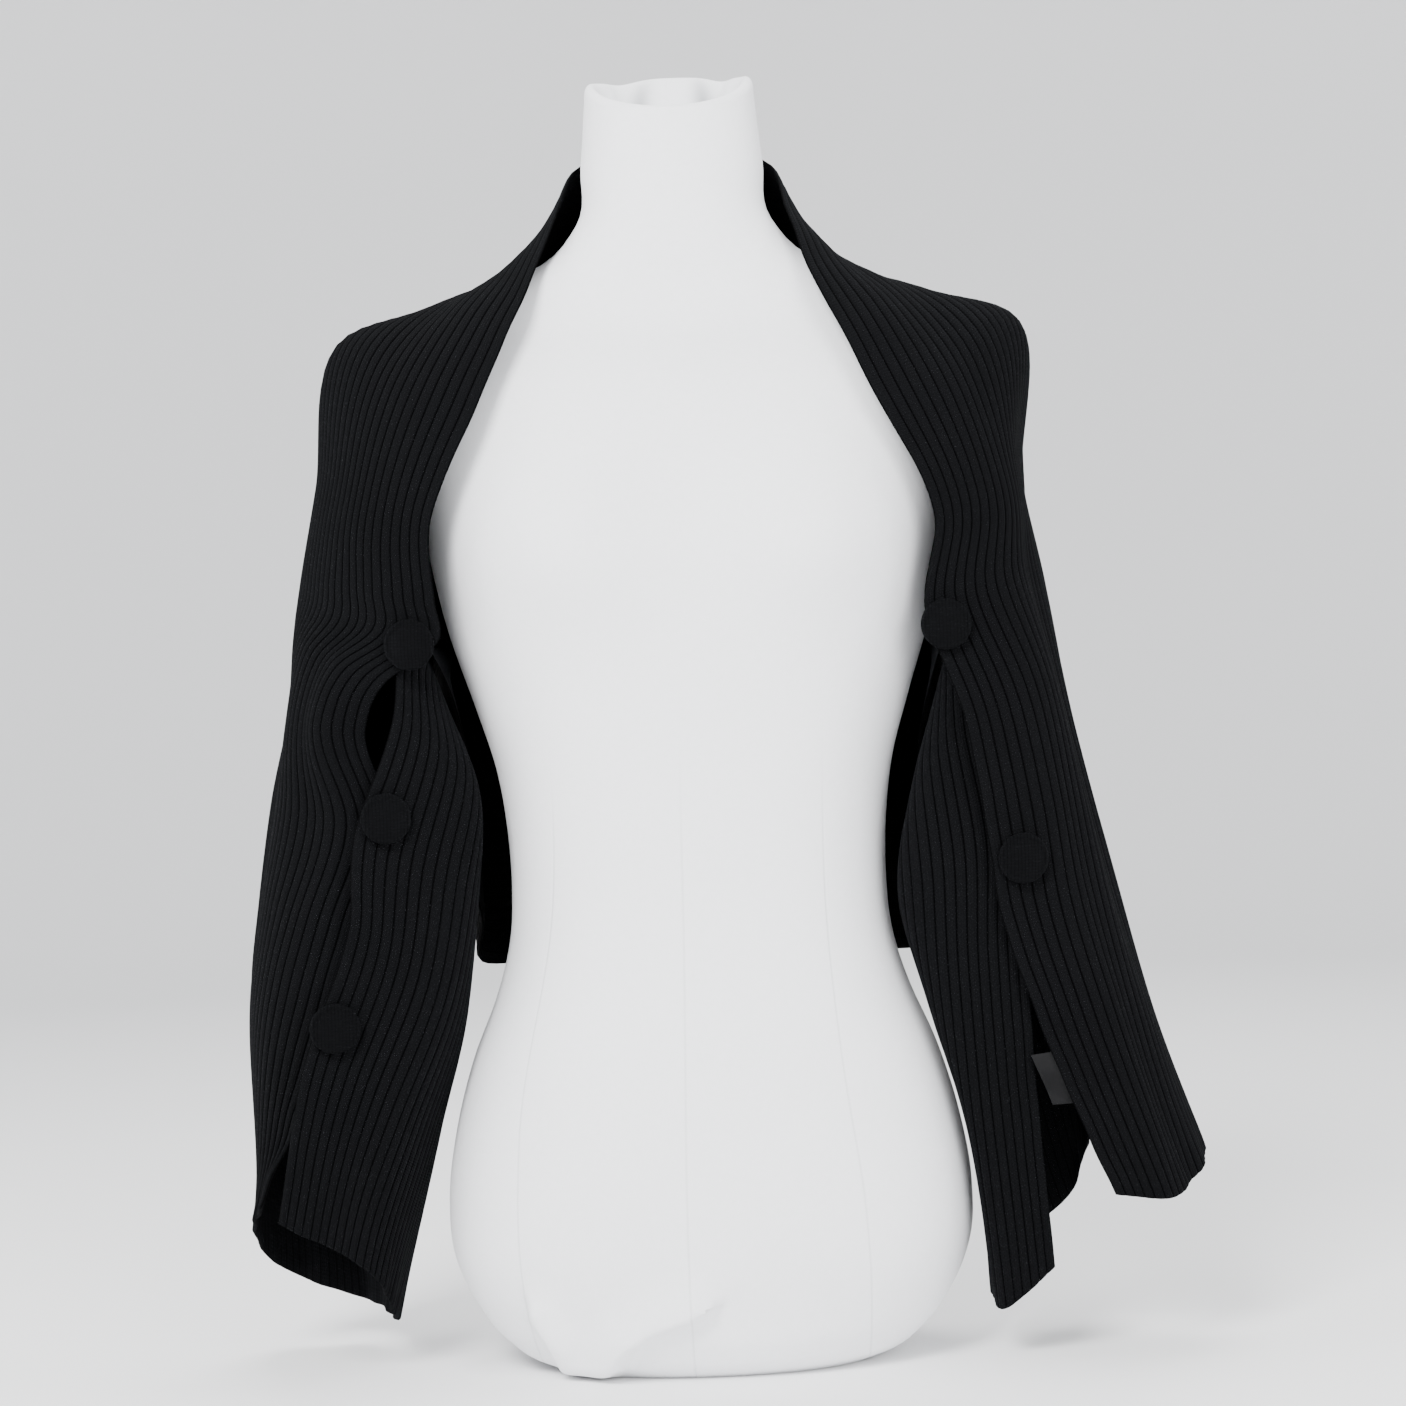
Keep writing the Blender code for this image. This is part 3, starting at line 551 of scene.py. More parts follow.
# %% Make the form
def dress_form():
    """Slices from the base up, then rings that shrink to the middle of the dish."""
    table = np.array(FORM)
    hem, above = np.linspace(0, HEM_TOP, 24), np.linspace(HEM_TOP, NECK_TOP.height, 122)
    heights = np.unique(np.concatenate([hem, above]))
    cuts = through(table[:, 0], table[:, 1:], heights)
    resting = ease((heights - CLOTH_LOW) / 0.06) * ease((CLOTH_HIGH - heights) / 0.03)
    cuts = cuts - (FORM_DRAWN_IN * (0.35 + 0.65 * resting))[:, None]
    angle = np.linspace(0, 2 * pi, FORM_SIDES, endpoint=False)[None, :]
    high = heights[:, None] + 0 * angle
    x, y = form_slice(high, cuts[:, :1], cuts[:, 1:2], cuts[:, 2:3], angle)
    ahead = np.cos(angle) * np.ones_like(high)
    fold = sum(crest_rise(x, high, crest) for crest in HEM_FOLDS)
    fold = fold * np.clip(ahead * 3, 0, 1) * ease((high + 0.002) / 0.006)
    x = x + fold * np.sin(angle) * 0.6
    y = y - fold
    z = high - 0.25 * fold * ease(high / 0.01)
    z = z + y * tan(NECK_TILT) * ease((heights[:, None] - 0.70) / 0.08)
    body = np.stack([x, y, z], axis=2)

    rings = np.array(NECK_RINGS)
    steps = np.linspace(0, len(rings) - 1, 40)[1:]
    rings = through(np.arange(len(rings)), rings, steps)
    top = body[-1]
    centre = np.array([0, top[:, 1].mean(), NECK_TOP.height])
    inset = rings[:, None, :1]
    dish = centre + (top[None] - centre) * np.concatenate([inset, inset, np.ones_like(inset)], axis=2)
    lift = rings[:, 1:2] + 0 * angle
    for dent in NECK_DENTS:
        round_rim = bell(turned_from(dent.angle, np.degrees(angle)), dent.spread)
        lift = lift + dent.lift * round_rim * bell(rings[:, :1] - dent.inset, dent.reach)
    dish[:, :, 2] = centre[2] + (dish[:, :, 2] - centre[2]) * np.clip(inset[:, :, 0], 0.35, 1) + lift
    grid = np.concatenate([body, dish])
    rows = len(grid)
    points = np.concatenate([grid.reshape(-1, 3), [[0, 0, 0]], [dish[-1].mean(axis=0)]])
    faces = quads(rows, FORM_SIDES, closed=True).tolist()
    bottom = rows * FORM_SIDES
    faces += fan(0, FORM_SIDES, bottom, below=True)
    faces += fan(bottom - FORM_SIDES, FORM_SIDES, bottom + 1)
    numbers = {}
    for name, path in SEAMS.items():
        path = np.array(path)
        where = through(path[:, 0], path[:, 1:], points[:, 2])[:, 0]
        numbers[name] = points[:, 0] - where
    front = ease(-points[:, 1] / 0.02)
    turn = np.degrees(np.arctan2(points[:, 0], -points[:, 1] + centre[1]))
    depth = (NECK_TOP.front + NECK_TOP.back) / 2
    share = np.hypot(points[:, 0] / NECK_TOP.half_width, (points[:, 1] - centre[1]) / depth)
    # Painted shade: a mask that darkens the colour in the two sunken gaps at the back of the neck's top
    gaps = [dent.angle for dent in NECK_DENTS if dent.lift < GAP_DEPTH]
    near = sum(bell(turned_from(gap, turn), GAP_SHADE_SPREAD) for gap in gaps)
    numbers["painted_gap_shade"] = 0.9 * near * bell(share - GAP_SHADE_INSET, GAP_SHADE_REACH) * (points[:, 2] > 0.77)
    numbers["seam_strength"] = front * ease((0.40 - points[:, 2]) / 0.12)
    return make_piece("jersey_form", points, faces, jersey, numbers=numbers)


form = dress_form()
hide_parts("dress_form")
print("form stands", round(max(v.co.z for v in form.data.vertices), 3), "m high")

# %% [markdown]
# ## The cloth: one rectangle, described by ten lines
#
# The real garment is cut as one rectangle, 1.58 m along its ribs and 0.52 m across them. Ten
# guide lines say where the cloth goes: each keeps its place across the cloth, from the neck edge
# to the lower edge, and its rows say where it lies at a distance along the ribs from the middle
# of the back. The surface between is a function of two parameters, along and across.

# %% Guide lines of the cloth
HALF_LENGTH = 0.79
SLEEVE_START = 0.400
EDGE_WAVE = 0.0009
EDGE_REACH = 0.020
CUFF_RIPPLE = 0.0007
CURVE_STEPS = 600
CHORD_POWER = 0.75
SLOPE_STEP = 0.004
Guide = namedtuple("Guide", "along out deep high")
SHARED = {
    "neck_edge": (
        Guide(0.00, 0.000, 0.058, 0.745),
        Guide(0.08, 0.061, 0.022, 0.740),
    ),
    "chest": (
        Guide(0.00, 0.000, 0.068, 0.695),
        Guide(0.08, 0.076, 0.058, 0.700),
        Guide(0.125, 0.092, 0.012, 0.690),
        Guide(0.17, 0.108, -0.020, 0.670),
        Guide(0.215, 0.130, -0.050, 0.643),
        Guide(0.26, 0.158, -0.070, 0.602),
    ),
    "shoulder": (
        Guide(0.00, 0.000, 0.090, 0.640),
        Guide(0.08, 0.082, 0.084, 0.650),
        Guide(0.125, 0.104, 0.052, 0.664),
        Guide(0.17, 0.126, 0.026, 0.665),
        Guide(0.215, 0.164, 0.010, 0.651),
        Guide(0.26, 0.208, 0.000, 0.636),
    ),
    "rear_outer": (
        Guide(0.00, 0.000, 0.113, 0.575),
        Guide(0.08, 0.085, 0.106, 0.590),
        Guide(0.125, 0.124, 0.088, 0.615),
        Guide(0.17, 0.152, 0.072, 0.622),
        Guide(0.215, 0.192, 0.060, 0.608),
        Guide(0.26, 0.212, 0.052, 0.586),
    ),
    "rear": (
        Guide(0.00, 0.000, 0.116, 0.505),
        Guide(0.08, 0.086, 0.112, 0.515),
        Guide(0.125, 0.132, 0.104, 0.540),
        Guide(0.17, 0.160, 0.102, 0.560),
        Guide(0.215, 0.190, 0.096, 0.540),
        Guide(0.26, 0.210, 0.092, 0.515),
    ),
    "rear_inner": (
        Guide(0.00, 0.000, 0.113, 0.430),
        Guide(0.08, 0.086, 0.109, 0.435),
        Guide(0.125, 0.134, 0.104, 0.455),
        Guide(0.17, 0.156, 0.113, 0.475),
        Guide(0.215, 0.176, 0.109, 0.470),
        Guide(0.26, 0.190, 0.107, 0.462),
    ),
    "under": (
        Guide(0.00, 0.000, 0.109, 0.355),
        Guide(0.08, 0.085, 0.104, 0.358),
        Guide(0.125, 0.132, 0.098, 0.372),
        Guide(0.17, 0.149, 0.114, 0.400),
        Guide(0.215, 0.156, 0.110, 0.410),
        Guide(0.26, 0.163, 0.106, 0.420),
    ),
    "body_fold": (
        Guide(0.00, 0.000, 0.107, 0.300),
        Guide(0.08, 0.083, 0.101, 0.302),
        Guide(0.125, 0.112, 0.115, 0.320),
        Guide(0.17, 0.145, 0.107, 0.330),
        Guide(0.215, 0.145, 0.092, 0.348),
        Guide(0.26, 0.158, 0.078, 0.376),
    ),
    "strip": (
        Guide(0.00, 0.000, 0.106, 0.262),
        Guide(0.08, 0.081, 0.099, 0.264),
        Guide(0.125, 0.112, 0.110, 0.266),
        Guide(0.17, 0.143, 0.090, 0.272),
        Guide(0.215, 0.140, 0.068, 0.297),
        Guide(0.26, 0.147, 0.044, 0.332),
    ),
    "lower_edge": (
        Guide(0.00, 0.000, 0.106, 0.232),
        Guide(0.08, 0.079, 0.098, 0.236),
        Guide(0.125, 0.112, 0.100, 0.240),
        Guide(0.17, 0.142, 0.074, 0.244),
        Guide(0.215, 0.138, 0.050, 0.268),
        Guide(0.26, 0.143, 0.021, 0.306),
    ),
}
LEFT = {
    "neck_edge": (
        Guide(0.125, 0.074, -0.018, 0.702),
        Guide(0.17, 0.089, -0.050, 0.661),
        Guide(0.215, 0.104, -0.074, 0.625),
        Guide(0.26, 0.121, -0.090, 0.585),
        Guide(0.34, 0.152, -0.083, 0.515),
        Guide(0.395, 0.151, -0.080, 0.470),
        Guide(0.42, 0.150, -0.079, 0.446),
        Guide(0.445, 0.182, -0.075, 0.424),
        Guide(0.475, 0.196, -0.066, 0.398),
        Guide(0.54, 0.180, -0.068, 0.334),
        Guide(0.60, 0.200, -0.068, 0.280),
        Guide(0.67, 0.224, -0.064, 0.213),
        Guide(0.79, 0.281, 0.008, 0.100),
    ),
    "chest": (
        Guide(0.34, 0.190, -0.066, 0.528),
        Guide(0.42, 0.202, -0.070, 0.458),
        Guide(0.475, 0.222, -0.066, 0.404),
        Guide(0.54, 0.230, -0.064, 0.342),
        Guide(0.60, 0.244, -0.060, 0.284),
        Guide(0.67, 0.260, -0.048, 0.219),
        Guide(0.79, 0.290, 0.046, 0.080),
    ),
    "shoulder": (
        Guide(0.34, 0.226, -0.002, 0.547),
        Guide(0.42, 0.241, -0.004, 0.470),
        Guide(0.475, 0.249, -0.004, 0.415),
        Guide(0.54, 0.2615, -0.004, 0.352),
        Guide(0.60, 0.272, 0.000, 0.292),
        Guide(0.67, 0.281, 0.004, 0.225),
        Guide(0.79, 0.284, 0.072, 0.058),
    ),
    "rear_outer": (
        Guide(0.34, 0.228, 0.050, 0.512),
        Guide(0.42, 0.243, 0.040, 0.448),
        Guide(0.475, 0.250, 0.040, 0.403),
        Guide(0.54, 0.263, 0.046, 0.344),
        Guide(0.60, 0.274, 0.048, 0.286),
        Guide(0.67, 0.282, 0.052, 0.219),
        Guide(0.79, 0.270, 0.087, 0.046),
    ),
    "rear": (
        Guide(0.34, 0.230, 0.086, 0.462),
        Guide(0.42, 0.242, 0.076, 0.420),
        Guide(0.475, 0.247, 0.078, 0.372),
        Guide(0.54, 0.252, 0.084, 0.300),
        Guide(0.60, 0.256, 0.086, 0.250),
        Guide(0.67, 0.258, 0.088, 0.196),
        Guide(0.79, 0.250, 0.090, 0.037),
    ),
    "rear_inner": (
        Guide(0.34, 0.204, 0.102, 0.440),
        Guide(0.42, 0.214, 0.095, 0.400),
        Guide(0.475, 0.220, 0.094, 0.348),
        Guide(0.54, 0.220, 0.096, 0.285),
        Guide(0.60, 0.228, 0.094, 0.232),
        Guide(0.67, 0.228, 0.092, 0.170),
        Guide(0.79, 0.226, 0.090, 0.028),
    ),
    "under": (
        Guide(0.34, 0.170, 0.098, 0.432),
        Guide(0.365, 0.172, 0.094, 0.437),
        Guide(0.38, 0.174, 0.093, 0.434),
        Guide(0.395, 0.176, 0.092, 0.428),
        Guide(0.42, 0.180, 0.088, 0.405),
        Guide(0.475, 0.184, 0.084, 0.345),
        Guide(0.54, 0.182, 0.082, 0.280),
        Guide(0.60, 0.188, 0.079, 0.220),
        Guide(0.67, 0.192, 0.075, 0.152),
        Guide(0.79, 0.206, 0.060, 0.026),
    ),
    "body_fold": (
        Guide(0.34, 0.157, 0.058, 0.422),
        Guide(0.365, 0.154, 0.052, 0.441),
        Guide(0.38, 0.159, 0.049, 0.443),
        Guide(0.395, 0.164, 0.046, 0.438),
        Guide(0.42, 0.167, 0.040, 0.410),
        Guide(0.475, 0.160, 0.032, 0.348),
        Guide(0.54, 0.151, 0.026, 0.285),
        Guide(0.60, 0.152, 0.020, 0.215),
        Guide(0.67, 0.168, 0.012, 0.144),
        Guide(0.79, 0.1985, -0.004, 0.031),
    ),
    "strip": (
        Guide(0.34, 0.151, 0.012, 0.405),
        Guide(0.365, 0.151, -0.008, 0.436),
        Guide(0.38, 0.156, -0.019, 0.443),
        Guide(0.395, 0.161, -0.029, 0.441),
        Guide(0.42, 0.153, -0.040, 0.417),
        Guide(0.475, 0.134, -0.057, 0.362),
        Guide(0.54, 0.139, -0.056, 0.300),
        Guide(0.60, 0.154, -0.058, 0.232),
        Guide(0.67, 0.184, -0.062, 0.164),
        Guide(0.79, 0.207, -0.050, 0.066),
    ),
    "lower_edge": (
        Guide(0.34, 0.141, -0.012, 0.388),
        Guide(0.365, 0.149, -0.037, 0.423),
        Guide(0.38, 0.155, -0.050, 0.438),
        Guide(0.395, 0.161, -0.061, 0.448),
        Guide(0.42, 0.171, -0.069, 0.452),
        Guide(0.475, 0.180, -0.074, 0.398),
        Guide(0.54, 0.205, -0.080, 0.330),
        Guide(0.60, 0.210, -0.080, 0.275),
        Guide(0.67, 0.237, -0.074, 0.206),
        Guide(0.79, 0.261, -0.060, 0.100),
    ),
}
RIGHT = {
    "neck_edge": (
        Guide(0.125, 0.070, -0.020, 0.704),
        Guide(0.17, 0.081, -0.052, 0.664),
        Guide(0.215, 0.098, -0.074, 0.625),
        Guide(0.26, 0.115, -0.090, 0.585),
        Guide(0.34, 0.148, -0.084, 0.515),
        Guide(0.42, 0.142, -0.076, 0.450),
        Guide(0.475, 0.160, -0.080, 0.398),
        Guide(0.54, 0.172, -0.080, 0.330),
        Guide(0.60, 0.180, -0.074, 0.272),
        Guide(0.67, 0.201, -0.068, 0.205),
        Guide(0.79, 0.243, -0.062, 0.099),
    ),
    "chest": (
        Guide(0.34, 0.190, -0.066, 0.528),
        Guide(0.42, 0.194, -0.070, 0.464),
        Guide(0.475, 0.208, -0.068, 0.408),
        Guide(0.54, 0.222, -0.066, 0.343),
        Guide(0.60, 0.236, -0.064, 0.282),
        Guide(0.67, 0.252, -0.060, 0.212),
        Guide(0.79, 0.280, -0.050, 0.094),
    ),
    "shoulder": (
        Guide(0.34, 0.207, -0.002, 0.547),
        Guide(0.42, 0.219, -0.004, 0.474),
        Guide(0.475, 0.229, -0.004, 0.415),
        Guide(0.54, 0.243, -0.004, 0.348),
        Guide(0.60, 0.258, -0.002, 0.286),
        Guide(0.67, 0.275, 0.000, 0.215),
        Guide(0.79, 0.306, -0.004, 0.110),
    ),
    "rear_outer": (
        Guide(0.34, 0.211, 0.048, 0.512),
        Guide(0.42, 0.222, 0.044, 0.450),
        Guide(0.475, 0.231, 0.044, 0.400),
        Guide(0.54, 0.245, 0.046, 0.340),
        Guide(0.60, 0.260, 0.046, 0.282),
        Guide(0.67, 0.277, 0.046, 0.212),
        Guide(0.79, 0.300, 0.042, 0.128),
    ),
    "rear": (
        Guide(0.34, 0.216, 0.085, 0.464),
        Guide(0.42, 0.226, 0.078, 0.418),
        Guide(0.475, 0.230, 0.080, 0.370),
        Guide(0.54, 0.235, 0.084, 0.304),
        Guide(0.60, 0.247, 0.084, 0.252),
        Guide(0.67, 0.262, 0.084, 0.198),
        Guide(0.79, 0.262, 0.066, 0.146),
    ),
    "rear_inner": (
        Guide(0.34, 0.197, 0.102, 0.440),
        Guide(0.42, 0.204, 0.095, 0.403),
        Guide(0.475, 0.206, 0.094, 0.350),
        Guide(0.54, 0.212, 0.094, 0.285),
        Guide(0.60, 0.226, 0.092, 0.230),
        Guide(0.67, 0.234, 0.089, 0.170),
        Guide(0.79, 0.232, 0.074, 0.084),
    ),
    "under": (
        Guide(0.34, 0.170, 0.098, 0.432),
        Guide(0.365, 0.172, 0.094, 0.437),
        Guide(0.38, 0.174, 0.093, 0.434),
        Guide(0.395, 0.176, 0.092, 0.428),
        Guide(0.42, 0.178, 0.087, 0.405),
        Guide(0.475, 0.180, 0.083, 0.343),
        Guide(0.54, 0.178, 0.080, 0.278),
        Guide(0.60, 0.188, 0.077, 0.218),
        Guide(0.67, 0.200, 0.073, 0.152),
        Guide(0.79, 0.202, 0.056, 0.060),
    ),
    "body_fold": (
        Guide(0.34, 0.157, 0.058, 0.422),
        Guide(0.365, 0.154, 0.052, 0.441),
        Guide(0.38, 0.159, 0.049, 0.443),
        Guide(0.395, 0.164, 0.046, 0.438),
        Guide(0.42, 0.167, 0.040, 0.410),
        Guide(0.475, 0.160, 0.034, 0.345),
        Guide(0.54, 0.152, 0.026, 0.278),
        Guide(0.60, 0.155, 0.016, 0.212),
        Guide(0.67, 0.172, 0.006, 0.146),
        Guide(0.79, 0.173, -0.004, 0.042),
    ),
    "strip": (
        Guide(0.34, 0.151, 0.012, 0.405),
        Guide(0.365, 0.151, -0.008, 0.436),
        Guide(0.38, 0.156, -0.018, 0.445),
        Guide(0.395, 0.161, -0.028, 0.444),
        Guide(0.42, 0.153, -0.040, 0.417),
        Guide(0.475, 0.134, -0.056, 0.352),
        Guide(0.54, 0.123, -0.052, 0.285),
        Guide(0.60, 0.139, -0.056, 0.224),
        Guide(0.67, 0.157, -0.058, 0.158),
        Guide(0.79, 0.176, -0.051, 0.031),
    ),
    "lower_edge": (
        Guide(0.34, 0.141, -0.012, 0.388),
        Guide(0.365, 0.149, -0.037, 0.423),
        Guide(0.38, 0.155, -0.050, 0.438),
        Guide(0.395, 0.161, -0.061, 0.448),
        Guide(0.42, 0.171, -0.069, 0.452),
        Guide(0.475, 0.186, -0.068, 0.394),
        Guide(0.54, 0.200, -0.071, 0.326),
        Guide(0.60, 0.196, -0.064, 0.265),
        Guide(0.67, 0.198, -0.058, 0.186),
        Guide(0.79, 0.206, -0.056, 0.056),
    ),
}

# The largest folds, then finer ones between them: where each starts and ends along the ribs,
# its place across them as a share of the width, its own width and how far it stands out
Fold = namedtuple("Fold", "side start end across_start across_end width rise")
FOLDS = (
    Fold(-1, 0.52, 0.90, 0.950, 0.880, 0.021, -0.004),
    Fold(-1, 0.34, 0.64, 0.120, 0.090, 0.016, -0.004),
    Fold(-1, 0.50, 0.90, 0.330, 0.340, 0.024, -0.005),
    Fold(-1, 0.50, 0.90, 0.560, 0.520, 0.024, -0.006),
    Fold(1, 0.46, 0.90, 0.105, 0.150, 0.016, -0.005),
    Fold(1, 0.34, 0.70, 0.190, 0.190, 0.016, -0.004),
    Fold(1, 0.46, 0.90, 0.360, 0.360, 0.024, -0.006),
    Fold(1, 0.50, 0.90, 0.580, 0.540, 0.024, -0.006),
    Fold(1, 0.05, 0.28, 0.060, 0.110, 0.014, -0.003),
)
FINE_FOLDS = (
    Fold(-1, 0.42, 0.74, 0.215, 0.225, 0.012, -0.0025),
    Fold(-1, 0.55, 0.88, 0.440, 0.450, 0.015, -0.0020),
    Fold(1, 0.44, 0.78, 0.260, 0.275, 0.012, -0.0028),
    Fold(1, 0.56, 0.88, 0.470, 0.455, 0.015, -0.0020),
    Fold(-1, 0.06, 0.30, 0.095, 0.150, 0.012, -0.0018),
    Fold(1, 0.10, 0.34, 0.150, 0.120, 0.012, -0.0020),
    Fold(-1, 0.02, 0.20, 0.420, 0.520, 0.026, -0.0018),
    Fold(1, 0.04, 0.24, 0.620, 0.540, 0.024, -0.0020),
)
print("guide lines:", len(SHARED))

# %% [markdown]
# Every section of the cloth is a smooth curve through the ten guide points. Its ribs are spread
# evenly by length, because knit keeps its pitch. The folds are soft troughs that run with the
# ribs down the sleeves, and each fades in and out.

# %% From guide lines to the middle of the cloth
def guide_line(name):
    """One guide from the left cuff through the middle of the back to the right cuff."""
    left = SHARED[name] + LEFT[name]
    right = SHARED[name] + RIGHT[name]
    rows = [(-g.along, -g.out, g.deep, g.high) for g in reversed(left[1:])]
    rows += [(g.along, g.out, g.deep, g.high) for g in right]
    return np.array(rows)


def middle_of_cloth(along, across):
    """For each section: the curve through its guide points, read at even shares of its length."""
    lines = [guide_line(name) for name in SHARED]
    guides = np.stack([through(line[:, 0], line[:, 1:], along) for line in lines], axis=1)
    grid = np.empty((len(along), len(across), 3))
    for row, points in enumerate(guides):
        chord = np.linalg.norm(np.diff(points, axis=0), axis=1) ** CHORD_POWER
        knots = np.concatenate([[0], np.cumsum(chord)])
        curve = through(knots, points, np.linspace(0, knots[-1], CURVE_STEPS))
        length = np.concatenate([[0], np.cumsum(np.linalg.norm(np.diff(curve, axis=0), axis=1))])
        place = across * length[-1]
        grid[row] = np.stack([np.interp(place, length, curve[:, k]) for k in range(3)], axis=1)
    return grid


def fold_rise(along, across):
    """Bells across the cloth round a line, fading in and out along it."""
    rise = np.zeros((len(along), len(across)))
    for fold in FOLDS + FINE_FOLDS:
        place = along * fold.side
        share = (place - fold.start) / (fold.end - fold.start)
        strength = ease(share / 0.3) * ease((1 - share) / 0.3)
        centre = fold.across_start + (fold.across_end - fold.across_start) * share
        off = (across[None, :] - centre[:, None]) * CLOTH_WIDTH
        rise += fold.rise * strength[:, None] * bell(off, fold.width)
    return rise


def edge_waves(along, across):
    """Low uneven waves in the last centimetres before a free edge, two sines of other lengths."""
    edge = np.minimum(across, 1 - across)[None, :] * CLOTH_WIDTH
    wave = np.sin(along * 2 * pi / 0.043) + 0.7 * np.sin(along * 2 * pi / 0.071 + 1.3)
    calm = 0.25 + 0.75 * ease((np.abs(along) - 0.40) / 0.12)
    cuff = ease((np.abs(along) - 0.75) / 0.04)[:, None]
    ripple = CUFF_RIPPLE * cuff * np.sin(across * RIBS * pi * 0.5)[None, :]
    return EDGE_WAVE * (wave * calm)[:, None] * bell(edge, EDGE_REACH) + ripple


def cloth_layers(along, across):
    """The middle of the folded cloth, and the directions out of it from its two slopes."""
    steps = np.concatenate([along - SLOPE_STEP, along, along + SLOPE_STEP])
    order = np.argsort(steps, kind="stable")
    grid = middle_of_cloth(steps[order], across)
    back = np.empty_like(order)
    back[order] = np.arange(len(order))
    before, here, after = (grid[back[k * len(along) : (k + 1) * len(along)]] for k in range(3))
    moved = []
    down = after - before
    for layer, shift in ((before, -SLOPE_STEP), (here, 0), (after, SLOPE_STEP)):
        normal = np.cross(down, np.gradient(layer, axis=1))
        normal /= np.linalg.norm(normal, axis=2, keepdims=True)
        rise = fold_rise(along + shift, across) + edge_waves(along + shift, across)
        moved.append(layer + normal * rise[:, :, None])
    down = moved[2] - moved[0]
    normal = np.cross(down, np.gradient(moved[1], axis=1))
    normal /= np.linalg.norm(normal, axis=2, keepdims=True)
    return moved[1], normal


print("folds in the sleeves:", len(FOLDS + FINE_FOLDS))

# %% [markdown]
# ## Ribs and edges
#
# A shell gives the cloth its thickness: an outer grid with rounded ribs and narrow valleys, and
# an inner grid with the reverse of the ribs. The two meet in rounded edges. Where the sleeves
# begin there is no seam on the real cloth, so the pieces share that section exactly.

# %% The ribbed shell
Column = namedtuple("Column", "place height")
RIB_COLUMNS = (
    Column(0.00, 0.00),
    Column(0.13, 0.66),
    Column(0.31, 0.96),
    Column(0.50, 1.00),
    Column(0.69, 0.96),
    Column(0.87, 0.66),
)
VALLEY_RISE = 0.0002
RIB_RISE = 0.0013
WALL_INSIDE = 0.0010
REVERSE_RISE = 0.0007
INNER_STEP = 3
EDGE_ROUND = 0.0012
CREASE_AT = 0.378
CREASE_WIDTH = 0.036
CREASE_THINNED = 0.62
BACK_STEP = 0.008
CREASE_STEP = 0.004
SLEEVE_STEP = 0.0055


def ribbed_shell(name, along):
    """Outer points: middle + out * (valley + rise * rib height). Inner ones lie under every third."""
    columns = [(rib + column.place) / RIBS for rib in range(RIBS) for column in RIB_COLUMNS]
    place = np.array(columns + [1.0])
    height = np.array([column.height for column in RIB_COLUMNS] * RIBS + [0.0])
    middle, out = cloth_layers(along, place)
    edge = np.minimum(place, 1 - place) * CLOTH_WIDTH
    rounded = 1 - 0.7 * bell(edge, EDGE_ROUND)[None, :]
    ends = np.clip((HALF_LENGTH - np.abs(along)) / EDGE_ROUND, 0, 1)[:, None]
    rounded = rounded * (0.45 + 0.55 * ends)
    armpit = bell(np.abs(along) - CREASE_AT, CREASE_WIDTH)[:, None]
    rounded = rounded * (1 - CREASE_THINNED * armpit * ease((place - 0.42) / 0.10)[None, :])
    rise = (VALLEY_RISE + RIB_RISE * height)[None, :] * rounded
    drop = (WALL_INSIDE + REVERSE_RISE * (height[::INNER_STEP] < 0.5))[None, :]
    drop = drop * rounded[:, ::INNER_STEP]
    outer = middle + out * rise[:, :, None]
    inner = middle[:, ::INNER_STEP] - out[:, ::INNER_STEP] * drop[:, :, None]
    rows, wide, narrow = len(along), outer.shape[1], inner.shape[1]
    points = np.concatenate([outer.reshape(-1, 3), inner.reshape(-1, 3)])
    first = rows * wide
    faces = quads(rows, wide)[:, ::-1].tolist() + quads(rows, narrow, first=first).tolist()
    row = np.arange(rows - 1)
    a, b = row * wide, first + row * narrow
    faces += np.stack([a, b, b + narrow, a + wide], axis=1).tolist()
    a, b = a + wide - 1, b + narrow - 1
    faces += np.stack([a, a + wide, b + narrow, b], axis=1).tolist()
    part = np.arange(narrow - 1)
    for row, turn in ((0, 1), (rows - 1, -1)):
        a, b = row * wide + part * INNER_STEP, first + row * narrow + part
        faces += np.stack([*(a + k for k in range(INNER_STEP + 1)), b + 1, b], axis=1)[:, ::turn].tolist()
    flat_outer = np.stack(np.broadcast_arrays(place[None, :] * CLOTH_WIDTH, along[:, None]), axis=2)
    flat = np.concatenate([flat_outer.reshape(-1, 2), flat_outer[:, ::INNER_STEP].reshape(-1, 2)])
    return make_piece(name, points, faces, rib_knit, flat=flat)


half_back = np.concatenate([
    np.arange(0, 0.30, BACK_STEP),
    np.arange(0.30, SLEEVE_START - 0.001, CREASE_STEP),
    [SLEEVE_START],
])
sleeve = np.concatenate([
    np.arange(SLEEVE_START, 0.45, CREASE_STEP),
    np.arange(0.452, HALF_LENGTH - CREASE_STEP, SLEEVE_STEP),
    [HALF_LENGTH - EDGE_ROUND, HALF_LENGTH],
])
back = ribbed_shell("rib_knit_back", np.concatenate([-half_back[:0:-1], half_back]))
left_sleeve = ribbed_shell("rib_knit_left_sleeve", -sleeve[::-1])
right_sleeve = ribbed_shell("rib_knit_right_sleeve", sleeve)
sleeve_length = HALF_LENGTH - SLEEVE_START
for piece, node, length, under in (
    (back, "wrap_back", 2 * SLEEVE_START, form),
    (left_sleeve, "wrap_left_sleeve", sleeve_length, back),
    (right_sleeve, "wrap_right_sleeve", sleeve_length, back),
):
    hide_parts(node)

# %% [markdown]
# ## Covered buttons
#
# Each button is a domed disc covered in the same knit, with a rolled rim, on a short shank. It is
# a profile turned round an axis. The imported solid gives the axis: its points spread least that
# way. The small dents in the cover are part of the dome's height.

